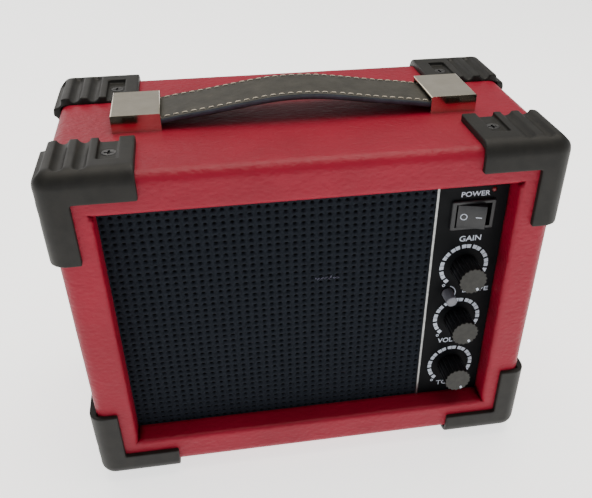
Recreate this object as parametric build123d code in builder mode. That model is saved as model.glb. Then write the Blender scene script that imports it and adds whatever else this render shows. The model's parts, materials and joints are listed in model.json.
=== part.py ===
"""Small practice guitar amplifier: covered box cabinet, recessed grille and control panel, strap handle.

Frame: +X right, +Y to the back, +Z up. The origin is on the floor, under the middle of the cabinet.
"""
from build123d import *
import os
from math import cos, radians, sin

os.makedirs("parts", exist_ok=True)

# ---- driving dimensions, mm -------------------------------------------------------------------
CAB_W, CAB_D, CAB_H = 220.0, 116.0, 164.5   # cabinet over its covering
FOOT_H = 8.0                                # feet lift the cabinet off the floor
BOARD = 14.8                                # cabinet board thickness
VINYL = 0.8                                 # covering thickness
EDGE_R = 4.8                                # rounding of the covered outer edges
RECESS = 11.4                               # front edge of the cabinet to the grille
GRILLE_T = 1.0
BAFFLE_T = 9.0
PANEL_T = 2.0
STRIP_X, STRIP_W = 58.8, 1.3                # bright strip between grille and control panel
DIAL_X = 76.0                               # column of knobs
GAIN_Z, VOLUME_Z, TONE_Z = 106.9, 75.4, 44.3
KNOB_R, KNOB_H = 6.8, 14.0
SWITCH_X, SWITCH_Z = 76.4, 135.8
BEZEL_W, BEZEL_H, BEZEL_T = 21.0, 15.0, 1.7
LED_X, LED_Z = 85.6, 147.7
BUTTON_X, BUTTON_Z = 69.3, 91.5
BUTTON_R, BUTTON_OUT, BUTTON_TRAVEL = 2.75, 8.0, 3.0
SPEAKER_R = 51.0                            # four inch driver, over the frame
CORNER_SIDE, CORNER_FRONT = 4.0, 3.3        # corner protectors stand proud by this much
CORNER_X, CORNER_Z = 37.0, 38.0             # legs of a protector along the cabinet's edges
CORNER_Y_FRONT, CORNER_Y_BACK = 32.0, 34.0
LIP = 10.0                                  # width of the L-shaped face of a protector
CAP_X, CAP_L, CAP_W, CAP_H = 72.9, 21.7, 30.5, 8.5
STRAP_W, STRAP_T = 28.5, 2.9
BACK_T, BACK_INSET = 6.0, 4.0               # rear panel and how deep it sits
JACK_Z, JACK_X = 62.0, -46.0                # centre of the rear socket plate

# ---- places worked out from them ---------------------------------------------------------------
BOTTOM, TOP = FOOT_H, FOOT_H + CAB_H
FRONT, BACK = -CAB_D / 2, CAB_D / 2
MID_Z = (BOTTOM + TOP) / 2
WALL = BOARD + 2 * VINYL
IN_X = CAB_W / 2 - WALL                     # half width of the front opening
IN_LOW, IN_HIGH = BOTTOM + WALL, TOP - WALL
GRILLE_Y = FRONT + RECESS
BAFFLE_Y = GRILLE_Y + GRILLE_T
BAFFLE_BACK = BAFFLE_Y + BAFFLE_T
PANEL_BACK = GRILLE_Y + PANEL_T
STRIP_L, STRIP_R = STRIP_X - STRIP_W / 2, STRIP_X + STRIP_W / 2
SPEAKER_X = (STRIP_L - IN_X) / 2
REAR_Y = BACK - BACK_INSET                  # outer face of the rear panel
REAR_IN = REAR_Y - BACK_T
BATTEN = 10.0
FIT = 0.3                                   # gap round a loose fitted panel
EDGE_GAP = 0.1                              # gap round what is pressed into the front opening
STRIP_OUT = 0.6                             # the bright strip stands proud by this much
DIALS = {"gain": GAIN_Z, "volume": VOLUME_Z, "tone": TONE_Z}


def keep(piece, name):
    """Label a finished piece and write it as its own STEP file."""
    piece.part.label = name
    export_step(piece.part, f"parts/{name}.step")


def along_y(x, y, z):
    """Sketch plane facing the front, with its own x to the right and y up."""
    return Plane(origin=(x, y, z), x_dir=(1, 0, 0), z_dir=(0, -1, 0))


def lathe(x, z):
    """Plane and axis for a profile of (radius, y) turned about a line along Y."""
    return Plane(origin=(x, 0, z), x_dir=(1, 0, 0), z_dir=(0, 0, 1)), Axis((x, 0, z), (0, 1, 0))


def block(low, high, mode=Mode.ADD):
    """Box between two corners, in the part being built."""
    size = [b - a for a, b in zip(low, high)]
    centre = [(a + b) / 2 for a, b in zip(low, high)]
    with Locations(tuple(centre)):
        Box(*size, mode=mode)


# ---- fasteners ---------------------------------------------------------------------------------
def cross_head_screw(head_r, head_h, shank_r, length, countersunk=False, recess=True):
    """Screw with its head's top at the origin and its shank along -Z."""
    under_r = shank_r if countersunk else head_r
    outline = [(0, 0), (head_r, 0), (under_r, -head_h)]
    if not countersunk:
        outline.append((shank_r, -head_h))
    outline += [(shank_r, shank_r - length), (0, -length)]
    slot_l, slot_w, slot_d = head_r * 1.25, head_r * 0.28, head_h * 0.6
    with BuildPart() as screw:
        with BuildSketch(Plane.XZ):
            with BuildLine():
                Polyline(*outline, close=True)
            make_face()
        revolve(axis=Axis.Z)
        if recess:
            with BuildSketch(Plane.XY):
                Rectangle(slot_l, slot_w)
                Rectangle(slot_w, slot_l)
            extrude(amount=-slot_d, mode=Mode.SUBTRACT)
    return screw.part


def screws_at(screw, planes):
    """Copies of one screw, head outwards along each plane's normal."""
    with BuildPart() as group:
        with Locations(*planes):
            add(screw)
    return group


CORNERS = [(side, end, face) for face in (1, -1) for end in (-1, 1) for side in (-1, 1)]
CORNER_SCREW_IN = 26.2                      # from the cabinet's edge to the screw, on each flange
CORNER_SEAT = 2.0                           # thickness of a protector under its screws
FRONT_SCREW_Y, BACK_SCREW_Y = FRONT + 20.0, BACK - 18.0
corner_planes = []
for side, end, face in CORNERS:
    screw_y = FRONT_SCREW_Y if end < 0 else BACK_SCREW_Y
    flat_x = side * (CAB_W / 2 - CORNER_SCREW_IN)
    flat_z = MID_Z + face * (CAB_H / 2 + CORNER_SEAT)
    side_x = side * (CAB_W / 2 + CORNER_SEAT)
    side_z = MID_Z + face * (CAB_H / 2 - CORNER_SCREW_IN)
    corner_planes.append(Plane(origin=(flat_x, screw_y, flat_z), z_dir=(0, 0, face)))
    corner_planes.append(Plane(origin=(side_x, screw_y, side_z), z_dir=(side, 0, 0)))
CORNER_SCREW = (3.2, 1.8, 1.5, 13.0)        # head radius and height, shank radius, length
corner_screws = screws_at(cross_head_screw(*CORNER_SCREW, countersunk=True), corner_planes)
corner_holes = screws_at(cross_head_screw(*CORNER_SCREW, countersunk=True, recess=False), corner_planes)
keep(corner_screws, "corner_screws")

FOOT_X, FOOT_Y, FOOT_R = 60.0, 40.0, 9.0
FOOT_SEAT = 4.5                             # rubber left between the screw's head and the cabinet
foot_spots = [(x, y) for x in (-FOOT_X, FOOT_X) for y in (-FOOT_Y, FOOT_Y)]
FOOT_TAPER, FOOT_WELL_R = 0.8, 4.6          # the foot narrows to the floor, with a well for its screw
FOOT_SCREW = (3.6, 2.0, 1.6, 15.0)
foot_head_z = BOTTOM - FOOT_SEAT - FOOT_SCREW[1]
foot_planes = [Plane(origin=(x, y, foot_head_z), z_dir=(0, 0, -1)) for x, y in foot_spots]
foot_screws = screws_at(cross_head_screw(*FOOT_SCREW), foot_planes)
keep(foot_screws, "foot_screws")

BOLT_X = CAP_X + 4.6                        # bolts that hold the strap's ends
STRAP_SEAT = 0.3                            # gap between the strap's ends and the covering
HANDLE_BOLT = (3.8, 2.2, 2.2, 18.0)
bolt_top = TOP + STRAP_SEAT + STRAP_T + HANDLE_BOLT[1]
bolt_planes = [Plane(origin=(x, 0, bolt_top), z_dir=(0, 0, 1)) for x in (-BOLT_X, BOLT_X)]
handle_bolts = screws_at(cross_head_screw(*HANDLE_BOLT), bolt_planes)
keep(handle_bolts, "handle_bolts")

PANEL_EDGE, PLATE_EDGE = 7.5, 3.2           # rear and plate screws, in from their panel's edge
REAR_SCREW = (3.4, 1.6, 1.6, 14.0)          # head radius and height, shank radius, length
PLATE_SCREW = (2.4, 1.2, 1.2, 8.0)
PLATE_W, PLATE_H, PLATE_T = 72.0, 28.0, 1.5
CUTOUT_W, CUTOUT_H = 59.0, 19.0             # opening in the rear panel behind the socket plate
rear_spots = [(x, z) for x in (-IN_X + PANEL_EDGE, 0, IN_X - PANEL_EDGE)
              for z in (IN_LOW + PANEL_EDGE, IN_HIGH - PANEL_EDGE)]
rear_spots += [(-IN_X + PANEL_EDGE, MID_Z), (IN_X - PANEL_EDGE, MID_Z)]
plate_spots = [(JACK_X + i * (PLATE_W / 2 - PLATE_EDGE), JACK_Z + j * (PLATE_H / 2 - PLATE_EDGE))
               for i in (-1, 1) for j in (-1, 1)]
rear_planes = [Plane(origin=(x, REAR_Y + REAR_SCREW[1], z), z_dir=(0, 1, 0)) for x, z in rear_spots]
rear_screws = screws_at(cross_head_screw(*REAR_SCREW), rear_planes)
plate_top = REAR_Y + PLATE_T + PLATE_SCREW[1]
plate_screws = screws_at(cross_head_screw(*PLATE_SCREW), [Plane(origin=(x, plate_top, z), z_dir=(0, 1, 0))
                                                          for x, z in plate_spots])
with BuildPart() as panel_screws:
    add(rear_screws.part)
    add(plate_screws.part)
keep(panel_screws, "panel_screws")

# ---- cabinet boards, all cut from one rounded block ---------------------------------------------
with BuildPart() as core:
    with Locations((0, 0, MID_Z)):
        Box(CAB_W - 2 * VINYL, CAB_D - 2 * VINYL, CAB_H - 2 * VINYL)
    fillet(core.edges(), EDGE_R - VINYL)

BOARD_IN_X = CAB_W / 2 - VINYL - BOARD
BOARD_IN_LOW, BOARD_IN_HIGH = BOTTOM + VINYL + BOARD, TOP - VINYL - BOARD
FAR = 2 * CAB_W                             # reaches past the whole object
board_cuts = {
    "top_board": ((-FAR, -FAR, BOARD_IN_HIGH), (FAR, FAR, FAR), handle_bolts),
    "bottom_board": ((-FAR, -FAR, -FAR), (FAR, FAR, BOARD_IN_LOW), foot_screws),
    "left_board": ((-FAR, -FAR, BOARD_IN_LOW), (-BOARD_IN_X, FAR, BOARD_IN_HIGH), None),
    "right_board": ((BOARD_IN_X, -FAR, BOARD_IN_LOW), (FAR, FAR, BOARD_IN_HIGH), None),
}
for name, (low, high, own_screws) in board_cuts.items():
    with BuildPart() as board:
        add(core.part)
        block(low, high, Mode.INTERSECT)
        add(corner_holes.part, mode=Mode.SUBTRACT)
        if own_screws:
            add(own_screws.part, mode=Mode.SUBTRACT)
    keep(board, name)

with BuildPart() as vinyl_covering:
    with Locations((0, 0, MID_Z)):
        Box(CAB_W, CAB_D, CAB_H)
    fillet(vinyl_covering.edges(), EDGE_R)
    with BuildPart(mode=Mode.PRIVATE) as wood:
        add(core.part)
        block((-BOARD_IN_X, -FAR, BOARD_IN_LOW), (BOARD_IN_X, FAR, BOARD_IN_HIGH), Mode.SUBTRACT)
    add(wood.part, mode=Mode.SUBTRACT)
    block((-IN_X, -FAR, IN_LOW), (IN_X, FAR, IN_HIGH), Mode.SUBTRACT)
    block((-BOARD_IN_X, BAFFLE_BACK, BOARD_IN_LOW), (BOARD_IN_X, REAR_IN, BOARD_IN_HIGH), Mode.SUBTRACT)
    for holes in (corner_holes, foot_screws, handle_bolts):
        add(holes.part, mode=Mode.SUBTRACT)
keep(vinyl_covering, "vinyl_covering")

with BuildPart() as battens:
    for side in (-1, 1):
        outer, inner = side * BOARD_IN_X, side * (BOARD_IN_X - BATTEN)
        block((min(outer, inner), REAR_IN - BATTEN, BOARD_IN_LOW),
              (max(outer, inner), REAR_IN, BOARD_IN_HIGH))
    inner_x = BOARD_IN_X - BATTEN - FIT
    for low_z in (BOARD_IN_LOW, BOARD_IN_HIGH - BATTEN):
        block((-inner_x, REAR_IN - BATTEN, low_z), (inner_x, REAR_IN, low_z + BATTEN))
        block((-BOARD_IN_X, BAFFLE_BACK, low_z), (STRIP_L, BAFFLE_BACK + BATTEN, low_z + BATTEN))
    add(rear_screws.part, mode=Mode.SUBTRACT)
keep(battens, "battens")

# ---- front: baffle, grille cloth, strip and control panel ---------------------------------------
WINDOW = (62.5, 88.5, 30.0, 151.0)          # left, right, bottom and top of the baffle's opening
GASKET_R = 46.5
SCREW_PCD_R = 48.9
speaker_spots = [(SPEAKER_X + i * SCREW_PCD_R / 2**0.5, MID_Z + j * SCREW_PCD_R / 2**0.5)
                 for i in (-1, 1) for j in (-1, 1)]
GASKET_T, FLANGE_T = 1.0, 1.8
SURROUND_RIM_T = 0.4                        # edge of the surround, between the gasket and the basket
flange_y = BAFFLE_BACK + GASKET_T + SURROUND_RIM_T
flange_back = flange_y + FLANGE_T
SPEAKER_SCREW = (2.0, 1.8, 1.2, 11.0)
screw_top = flange_back + SPEAKER_SCREW[1]
speaker_planes = [Plane(origin=(x, screw_top, z), z_dir=(0, 1, 0)) for x, z in speaker_spots]
speaker_screws = screws_at(cross_head_screw(*SPEAKER_SCREW), speaker_planes)
keep(speaker_screws, "speaker_screws")

with BuildPart() as baffle_board:
    block((-IN_X, BAFFLE_Y, IN_LOW), (IN_X, BAFFLE_BACK, IN_HIGH))
    block((STRIP_R, BAFFLE_Y, IN_LOW), (IN_X, PANEL_BACK, IN_HIGH), Mode.SUBTRACT)
    block((WINDOW[0], -FAR, WINDOW[2]), (WINDOW[1], 0, WINDOW[3]), Mode.SUBTRACT)
    with BuildSketch(along_y(SPEAKER_X, BAFFLE_Y, MID_Z)):
        Circle(GASKET_R)
    extrude(amount=-BAFFLE_T, mode=Mode.SUBTRACT)
    add(speaker_screws.part, mode=Mode.SUBTRACT)
keep(baffle_board, "baffle_board")

with BuildPart() as grille_cloth:
    block((-IN_X + EDGE_GAP, GRILLE_Y, IN_LOW + EDGE_GAP), (STRIP_L, BAFFLE_Y, IN_HIGH - EDGE_GAP))
keep(grille_cloth, "grille_cloth")

with BuildPart() as trim_strip:
    block((STRIP_L, GRILLE_Y - STRIP_OUT, IN_LOW + EDGE_GAP), (STRIP_R, BAFFLE_Y, IN_HIGH - EDGE_GAP))
    fillet(trim_strip.edges().filter_by(Axis.Z).group_by(Axis.Y)[0], 0.4)
keep(trim_strip, "trim_strip")

BUSH_R, BODY_W, BODY_H = 3.4, 18.6, 13.0    # pot bushes, and the switch body behind the panel
HOLE_CLEAR, BUTTON_CLEAR = 0.1, 0.2         # gaps round what passes through the panel
LED_R, LED_OUT, LED_BASE_T = 1.25, 0.7, 2.5
with BuildPart() as control_panel:
    block((STRIP_R, GRILLE_Y, IN_LOW + EDGE_GAP), (IN_X - EDGE_GAP, PANEL_BACK, IN_HIGH - EDGE_GAP))
    for dial_z in DIALS.values():
        with BuildSketch(along_y(DIAL_X, GRILLE_Y, dial_z)):
            Circle(BUSH_R + HOLE_CLEAR)
        extrude(amount=-PANEL_T, mode=Mode.SUBTRACT)
    with BuildSketch(along_y(SWITCH_X, GRILLE_Y, SWITCH_Z)):
        Rectangle(BODY_W + 2 * HOLE_CLEAR, BODY_H + 2 * HOLE_CLEAR)
    extrude(amount=-PANEL_T, mode=Mode.SUBTRACT)
    with BuildSketch(along_y(LED_X, GRILLE_Y, LED_Z)):
        Circle(LED_R + HOLE_CLEAR)
    extrude(amount=-PANEL_T, mode=Mode.SUBTRACT)
    with BuildSketch(along_y(BUTTON_X, GRILLE_Y, BUTTON_Z)):
        Circle(BUTTON_R + BUTTON_CLEAR)
    extrude(amount=-PANEL_T, mode=Mode.SUBTRACT)
keep(control_panel, "control_panel")

with BuildPart() as power_led:
    with BuildSketch(along_y(LED_X, GRILLE_Y - LED_OUT, LED_Z)):
        Circle(LED_R)
    extrude(amount=-(PANEL_T + LED_OUT))
    fillet(power_led.faces().sort_by(Axis.Y)[0].edges(), 0.8 * LED_R)
    with BuildSketch(along_y(LED_X, PANEL_BACK, LED_Z)):
        Circle(LED_R + 0.4)
    extrude(amount=-LED_BASE_T)
keep(power_led, "power_led")

# ---- power switch -------------------------------------------------------------------------------
ROCKER_W, ROCKER_H, ROCKER_TILT = 13.2, 11.5, 17.0
PIVOT_Y = GRILLE_Y + 1.2
PIVOT_TO_FACE = 5.2
OPEN_W, OPEN_H = 17.2, 11.9
BODY_DEPTH = 17.0
PIN_R, PIN_CLEAR = 1.2, 0.1
PIN_REACH = 0.5                             # the pin's socket in each side of the housing
WELL_DEPTH = 12.0                           # hollow behind the rocker
TAG_STEP, TAG_W, TAG_H, TAG_L = 6.0, 0.8, 4.8, 7.0
PADDLE_SHOULDER, PADDLE_FOOT = 2.2, (3.0, 1.8)
FACE_BULGE = 0.35
with BuildPart() as switch_housing:
    with BuildSketch(along_y(SWITCH_X, GRILLE_Y - BEZEL_T, SWITCH_Z)):
        RectangleRounded(BEZEL_W, BEZEL_H, 0.8)
    extrude(amount=-BEZEL_T)
    chamfer(switch_housing.faces().sort_by(Axis.Y)[0].edges(), 0.4)
    with BuildSketch(along_y(SWITCH_X, GRILLE_Y, SWITCH_Z)):
        Rectangle(BODY_W, BODY_H)
    extrude(amount=-BODY_DEPTH)
    with BuildSketch(along_y(SWITCH_X, GRILLE_Y - BEZEL_T, SWITCH_Z)):
        Rectangle(OPEN_W, OPEN_H)
    extrude(amount=-(BEZEL_T + WELL_DEPTH), mode=Mode.SUBTRACT)
    with Locations((SWITCH_X, PIVOT_Y, SWITCH_Z)):
        Cylinder(PIN_R + PIN_CLEAR, OPEN_H + 2 * PIN_REACH, mode=Mode.SUBTRACT)
    for tag_x in (SWITCH_X - TAG_STEP, SWITCH_X, SWITCH_X + TAG_STEP):
        block((tag_x - TAG_W / 2, GRILLE_Y + BODY_DEPTH, SWITCH_Z - TAG_H / 2),
              (tag_x + TAG_W / 2, GRILLE_Y + BODY_DEPTH + TAG_L, SWITCH_Z + TAG_H / 2))
keep(switch_housing, "switch_housing")

with BuildPart() as switch_rocker:
    with BuildSketch(Plane.XY.offset(SWITCH_Z - ROCKER_H / 2)):
        with Locations(Location((SWITCH_X, PIVOT_Y, 0), (0, 0, -ROCKER_TILT))):
            with BuildSketch(mode=Mode.PRIVATE) as paddle:
                half = ROCKER_W / 2
                foot_x, foot_y = PADDLE_FOOT
                with BuildLine():
                    face_arc = ThreePointArc((-half, -PIVOT_TO_FACE), (0, FACE_BULGE - PIVOT_TO_FACE),
                                             (half, -PIVOT_TO_FACE))
                    Polyline(face_arc @ 1, (half, -PADDLE_SHOULDER), (foot_x, foot_y), (-foot_x, foot_y),
                             (-half, -PADDLE_SHOULDER), face_arc @ 0)
                make_face()
            add(paddle.sketch)
    extrude(amount=ROCKER_H)
    fillet(switch_rocker.edges().filter_by(Axis.Z).sort_by(Axis.Y)[:2], 0.4)
    with Locations((SWITCH_X, PIVOT_Y, SWITCH_Z)):
        Cylinder(PIN_R, OPEN_H + 2 * PIN_REACH - 0.2)
keep(switch_rocker, "switch_rocker")

# ---- push button --------------------------------------------------------------------------------
BUTTON_IN = 3.0                             # length of the button inside its switch
BUTTON_SWITCH_W, BUTTON_SWITCH_L = 8.6, 8.2
with BuildPart() as drive_button:
    with BuildSketch(along_y(BUTTON_X, GRILLE_Y - BUTTON_OUT, BUTTON_Z)):
        Circle(BUTTON_R)
    extrude(amount=-(BUTTON_OUT + BUTTON_IN))
    fillet(drive_button.faces().sort_by(Axis.Y)[0].edges(), 0.45)
keep(drive_button, "drive_button")

with BuildPart() as drive_switch:
    with BuildSketch(along_y(BUTTON_X, PANEL_BACK, BUTTON_Z)):
        Rectangle(BUTTON_SWITCH_W, BUTTON_SWITCH_W)
    extrude(amount=-BUTTON_SWITCH_L)
    with BuildSketch(along_y(BUTTON_X, PANEL_BACK, BUTTON_Z)):
        Circle(BUTTON_R + BUTTON_CLEAR)
    extrude(amount=-(BUTTON_IN + BUTTON_TRAVEL), mode=Mode.SUBTRACT)
keep(drive_switch, "drive_switch")

# ---- potentiometers, their shafts, nuts and knobs -----------------------------------------------
SHAFT_R, SHAFT_CLEAR = 3.0, 0.05
BUSH_OUT, NUT_T, NUT_FLAT = 5.0, 2.2, 10.0
POT_T, POT_HALF_W, POT_UP, POT_DOWN = 7.6, 8.0, 8.0, 10.0
LEG_STEP, LEG_W, LEG_H, LEG_T = 5.0, 1.2, 1.0, 0.6
SHAFT_IN, KNOB_GAP, KNOB_TOP = 3.0, 0.8, 2.6
SHAFT_END_GAP = 0.4                         # between the shaft's inner end and the bottom of its hole
FLUTES, FLUTE_R, FLUTE_OUT = 18, 0.85, 0.35 # scallops round the knob, centred just outside it
NUT_ROOM, BUSH_ROOM = 5.95, BUSH_R + 0.3    # hollows in the knob for the nut and the bush
knob_front = GRILLE_Y - KNOB_H
shaft_end = PANEL_BACK + SHAFT_IN - SHAFT_END_GAP
with BuildPart() as potentiometers:
    for dial_z in DIALS.values():
        block((DIAL_X - POT_HALF_W, PANEL_BACK, dial_z - POT_DOWN),
              (DIAL_X + POT_HALF_W, PANEL_BACK + POT_T, dial_z + POT_UP))
        with BuildSketch(along_y(DIAL_X, PANEL_BACK, dial_z)):
            Circle(BUSH_R)
        extrude(amount=PANEL_T + BUSH_OUT)
        leg_z = dial_z - POT_DOWN + LEG_H
        for leg_x in (DIAL_X - LEG_STEP, DIAL_X, DIAL_X + LEG_STEP):
            block((leg_x - LEG_W / 2, PANEL_BACK + POT_T, leg_z),
                  (leg_x + LEG_W / 2, PANEL_BACK + POT_T + LEG_T, leg_z + LEG_H))
        with BuildSketch(along_y(DIAL_X, GRILLE_Y - BUSH_OUT, dial_z)):
            Circle(SHAFT_R + SHAFT_CLEAR)
        extrude(amount=-(BUSH_OUT + PANEL_T + SHAFT_IN), mode=Mode.SUBTRACT)
keep(potentiometers, "potentiometers")

with BuildPart() as pot_nuts:
    for dial_z in DIALS.values():
        with BuildSketch(along_y(DIAL_X, GRILLE_Y, dial_z)):
            RegularPolygon(NUT_FLAT / 2, 6, major_radius=False)
            Circle(BUSH_R, mode=Mode.SUBTRACT)
        extrude(amount=NUT_T)
keep(pot_nuts, "pot_nuts")

for dial, dial_z in DIALS.items():
    with BuildPart() as shaft:
        with BuildSketch(along_y(DIAL_X, shaft_end, dial_z)):
            Circle(SHAFT_R)
        extrude(amount=shaft_end - (knob_front + KNOB_TOP))
    keep(shaft, f"{dial}_shaft")
    with BuildPart() as knob:
        with BuildSketch(along_y(DIAL_X, GRILLE_Y - KNOB_GAP, dial_z)):
            Circle(KNOB_R)
            with PolarLocations(KNOB_R + FLUTE_OUT, FLUTES):
                Circle(FLUTE_R, mode=Mode.SUBTRACT)
        extrude(amount=KNOB_H - KNOB_GAP)
        with BuildSketch(along_y(DIAL_X, GRILLE_Y - KNOB_GAP, dial_z)):
            Circle(NUT_ROOM)
        extrude(amount=NUT_T, mode=Mode.SUBTRACT)
        with BuildSketch(along_y(DIAL_X, GRILLE_Y - KNOB_GAP, dial_z)):
            Circle(BUSH_ROOM)
        extrude(amount=BUSH_OUT + 0.5 - KNOB_GAP, mode=Mode.SUBTRACT)
        with BuildSketch(along_y(DIAL_X, GRILLE_Y - KNOB_GAP, dial_z)):
            Circle(SHAFT_R)
        extrude(amount=KNOB_H - KNOB_GAP - KNOB_TOP, mode=Mode.SUBTRACT)
    keep(knob, f"{dial}_knob")

# ---- circuit board ------------------------------------------------------------------------------
BOARD_T = 1.6
BOARD_X, BOARD_Z = (61.0, 91.0), (33.0, 117.0)
board_front = PANEL_BACK + POT_T + LEG_T
board_back = board_front + BOARD_T
with BuildPart() as circuit_board:
    block((BOARD_X[0], board_front, BOARD_Z[0]), (BOARD_X[1], board_back, BOARD_Z[1]))
keep(circuit_board, "circuit_board")

# capacitors as (x, z, radius, height), chips as (x, z, width, height)
CAPACITORS = [(67.0, 39.5, 4.0, 12.0), (82.0, 40.5, 5.0, 15.0), (67.5, 52.0, 3.2, 8.0),
              (84.0, 55.0, 4.0, 12.0), (67.0, 63.5, 4.0, 12.0), (84.5, 68.5, 3.2, 8.0)]
CHIPS = [(75.5, 56.0, 7.0, 10.0), (75.5, 72.0, 7.0, 10.0)]
CHIP_T = 3.5
SOCKETS = [(66.5, 84.0), (84.5, 84.0)]      # plugs for the leads
SOCKET_DEPTH, SOCKET_W, SOCKET_H = 6.0, 8.0, 6.0
POWER_CHIP_W, POWER_CHIP_H, POWER_CHIP_D = 10.0, 4.5, 15.0
SINK_Z, SINK_H, SINK_W, SINK_D = 93.0, 22.0, 24.0, 20.0
SINK_BASE, FINS, FIN_T = 3.0, 6, 1.5
with BuildPart() as board_components:
    for x, z, radius, height in CAPACITORS:
        with BuildSketch(along_y(x, board_back, z)):
            Circle(radius)
        extrude(amount=-height)
    for x, z, chip_w, chip_h in CHIPS:
        block((x - chip_w / 2, board_back, z - chip_h / 2),
              (x + chip_w / 2, board_back + CHIP_T, z + chip_h / 2))
    for x, z in SOCKETS:
        block((x - SOCKET_W / 2, board_back, z - SOCKET_H / 2),
              (x + SOCKET_W / 2, board_back + SOCKET_DEPTH, z + SOCKET_H / 2))
    block((DIAL_X - POWER_CHIP_W / 2, board_back, SINK_Z - POWER_CHIP_H),
          (DIAL_X + POWER_CHIP_W / 2, board_back + POWER_CHIP_D, SINK_Z))
keep(board_components, "board_components")

with BuildPart() as heat_sink:
    fin_z = SINK_Z + SINK_BASE
    block((DIAL_X - SINK_W / 2, board_back, SINK_Z), (DIAL_X + SINK_W / 2, board_back + SINK_D, fin_z))
    for i in range(FINS):
        fin_x = DIAL_X - SINK_W / 2 + i * (SINK_W - FIN_T) / (FINS - 1)
        block((fin_x, board_back, fin_z), (fin_x + FIN_T, board_back + SINK_D, SINK_Z + SINK_H))
keep(heat_sink, "heat_sink")

# ---- loudspeaker, turned about its own axis ------------------------------------------------------
speaker_plane, speaker_axis = lathe(SPEAKER_X, MID_Z)
PLATE_Y = flange_y + 25.0                   # front of the magnet's top plate
PLATE_THICK, MAGNET_T, YOKE_T = 4.0, 11.0, 4.0
TOP_PLATE_R, MAGNET_R, MAGNET_HOLE_R, YOKE_R = 30.0, 33.0, 15.5, 29.0
POLE_R, COIL_IN, COIL_OUT, GAP_R = 9.4, 9.75, 10.15, 10.6
CONE_R, CONE_RIM, CONE_T = 39.5, 1.2, 0.8
cone_back, cone_front = flange_y + 15.0, flange_y + 0.6


def turned(name, outline):
    """Node made by turning a closed (radius, y) outline about the loudspeaker's axis."""
    with BuildPart() as piece:
        with BuildSketch(speaker_plane):
            with BuildLine():
                Polyline(*outline, close=True)
            make_face()
        revolve(axis=speaker_axis)
    keep(piece, name)


with BuildPart() as speaker_gasket:
    with BuildSketch(along_y(SPEAKER_X, BAFFLE_BACK + GASKET_T, MID_Z)):
        Circle(SPEAKER_R)
        Circle(GASKET_R, mode=Mode.SUBTRACT)
    extrude(amount=GASKET_T)
    add(speaker_screws.part, mode=Mode.SUBTRACT)
keep(speaker_gasket, "speaker_gasket")

WALL_T, SPIDER_T = 1.8, 0.3
spider_y = flange_y + 18.5
WINDOW_Y, WINDOW_R, WINDOW_W, WINDOW_L, WINDOW_DEPTH = flange_y + 4.0, 41.0, 18.0, 30.0, 12.0
TERMINAL_IN, TERMINAL_OUT, TERMINAL_D, TERMINAL_H = 41.0, 45.0, 6.0, 10.0
with BuildPart() as speaker_basket:
    with BuildSketch(speaker_plane):
        with BuildLine():
            Polyline((44.0, flange_y), (SPEAKER_R, flange_y), (SPEAKER_R, flange_back), (45.5, flange_back),
                     (34.0, PLATE_Y), (11.5, PLATE_Y), (11.5, PLATE_Y - WALL_T), (31.0, PLATE_Y - WALL_T),
                     (31.6, spider_y + 1.5), (24.5, spider_y + 1.5), (24.5, spider_y + SPIDER_T),
                     (33.6, spider_y + SPIDER_T), (43.4, flange_back), close=True)
        make_face()
    revolve(axis=speaker_axis)
    with BuildSketch(along_y(SPEAKER_X, WINDOW_Y, MID_Z)):
        with PolarLocations(WINDOW_R, 4):
            Rectangle(WINDOW_W, WINDOW_L)
    extrude(amount=-WINDOW_DEPTH, mode=Mode.SUBTRACT)
    block((SPEAKER_X + TERMINAL_IN, flange_back, MID_Z - TERMINAL_H / 2),
          (SPEAKER_X + TERMINAL_OUT, flange_back + TERMINAL_D, MID_Z + TERMINAL_H / 2))
    add(speaker_screws.part, mode=Mode.SUBTRACT)
keep(speaker_basket, "speaker_basket")

plate_back = PLATE_Y + PLATE_THICK
magnet_back = plate_back + MAGNET_T
coil_front, coil_back = cone_back - 1.5, plate_back + 2.0
turned("speaker_top_plate", [(GAP_R, PLATE_Y), (TOP_PLATE_R, PLATE_Y), (TOP_PLATE_R, plate_back),
                             (GAP_R, plate_back)])
turned("speaker_magnet", [(MAGNET_HOLE_R, plate_back), (MAGNET_R, plate_back), (MAGNET_R, magnet_back),
                          (MAGNET_HOLE_R, magnet_back)])
turned("speaker_yoke", [(0, PLATE_Y), (POLE_R, PLATE_Y), (POLE_R, magnet_back), (YOKE_R, magnet_back),
                        (YOKE_R, magnet_back + YOKE_T), (0, magnet_back + YOKE_T)])
turned("voice_coil", [(COIL_IN, coil_front), (COIL_OUT, coil_front), (COIL_OUT, coil_back),
                      (COIL_IN, coil_back)])
turned("speaker_cone", [(COIL_OUT, cone_back), (CONE_R, cone_front), (CONE_R + CONE_RIM, cone_front),
                        (CONE_R + CONE_RIM, cone_front + CONE_T),
                        (CONE_R + CONE_RIM / 3, cone_front + CONE_T), (COIL_OUT, cone_back + 1.5 * CONE_T)])

DOME_R, DOME_RISE, DOME_T = 13.0, 4.0, 0.6
sphere_r = (DOME_R**2 + DOME_RISE**2) / (2 * DOME_RISE)
dome_y = coil_front - 0.4
with BuildPart() as dust_cap:
    with Locations((SPEAKER_X, dome_y - DOME_RISE + sphere_r, MID_Z)):
        Sphere(sphere_r)
        Sphere(sphere_r - DOME_T, mode=Mode.SUBTRACT)
    block((-FAR, -FAR, -FAR), (FAR, dome_y, FAR), Mode.INTERSECT)
keep(dust_cap, "dust_cap")

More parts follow.
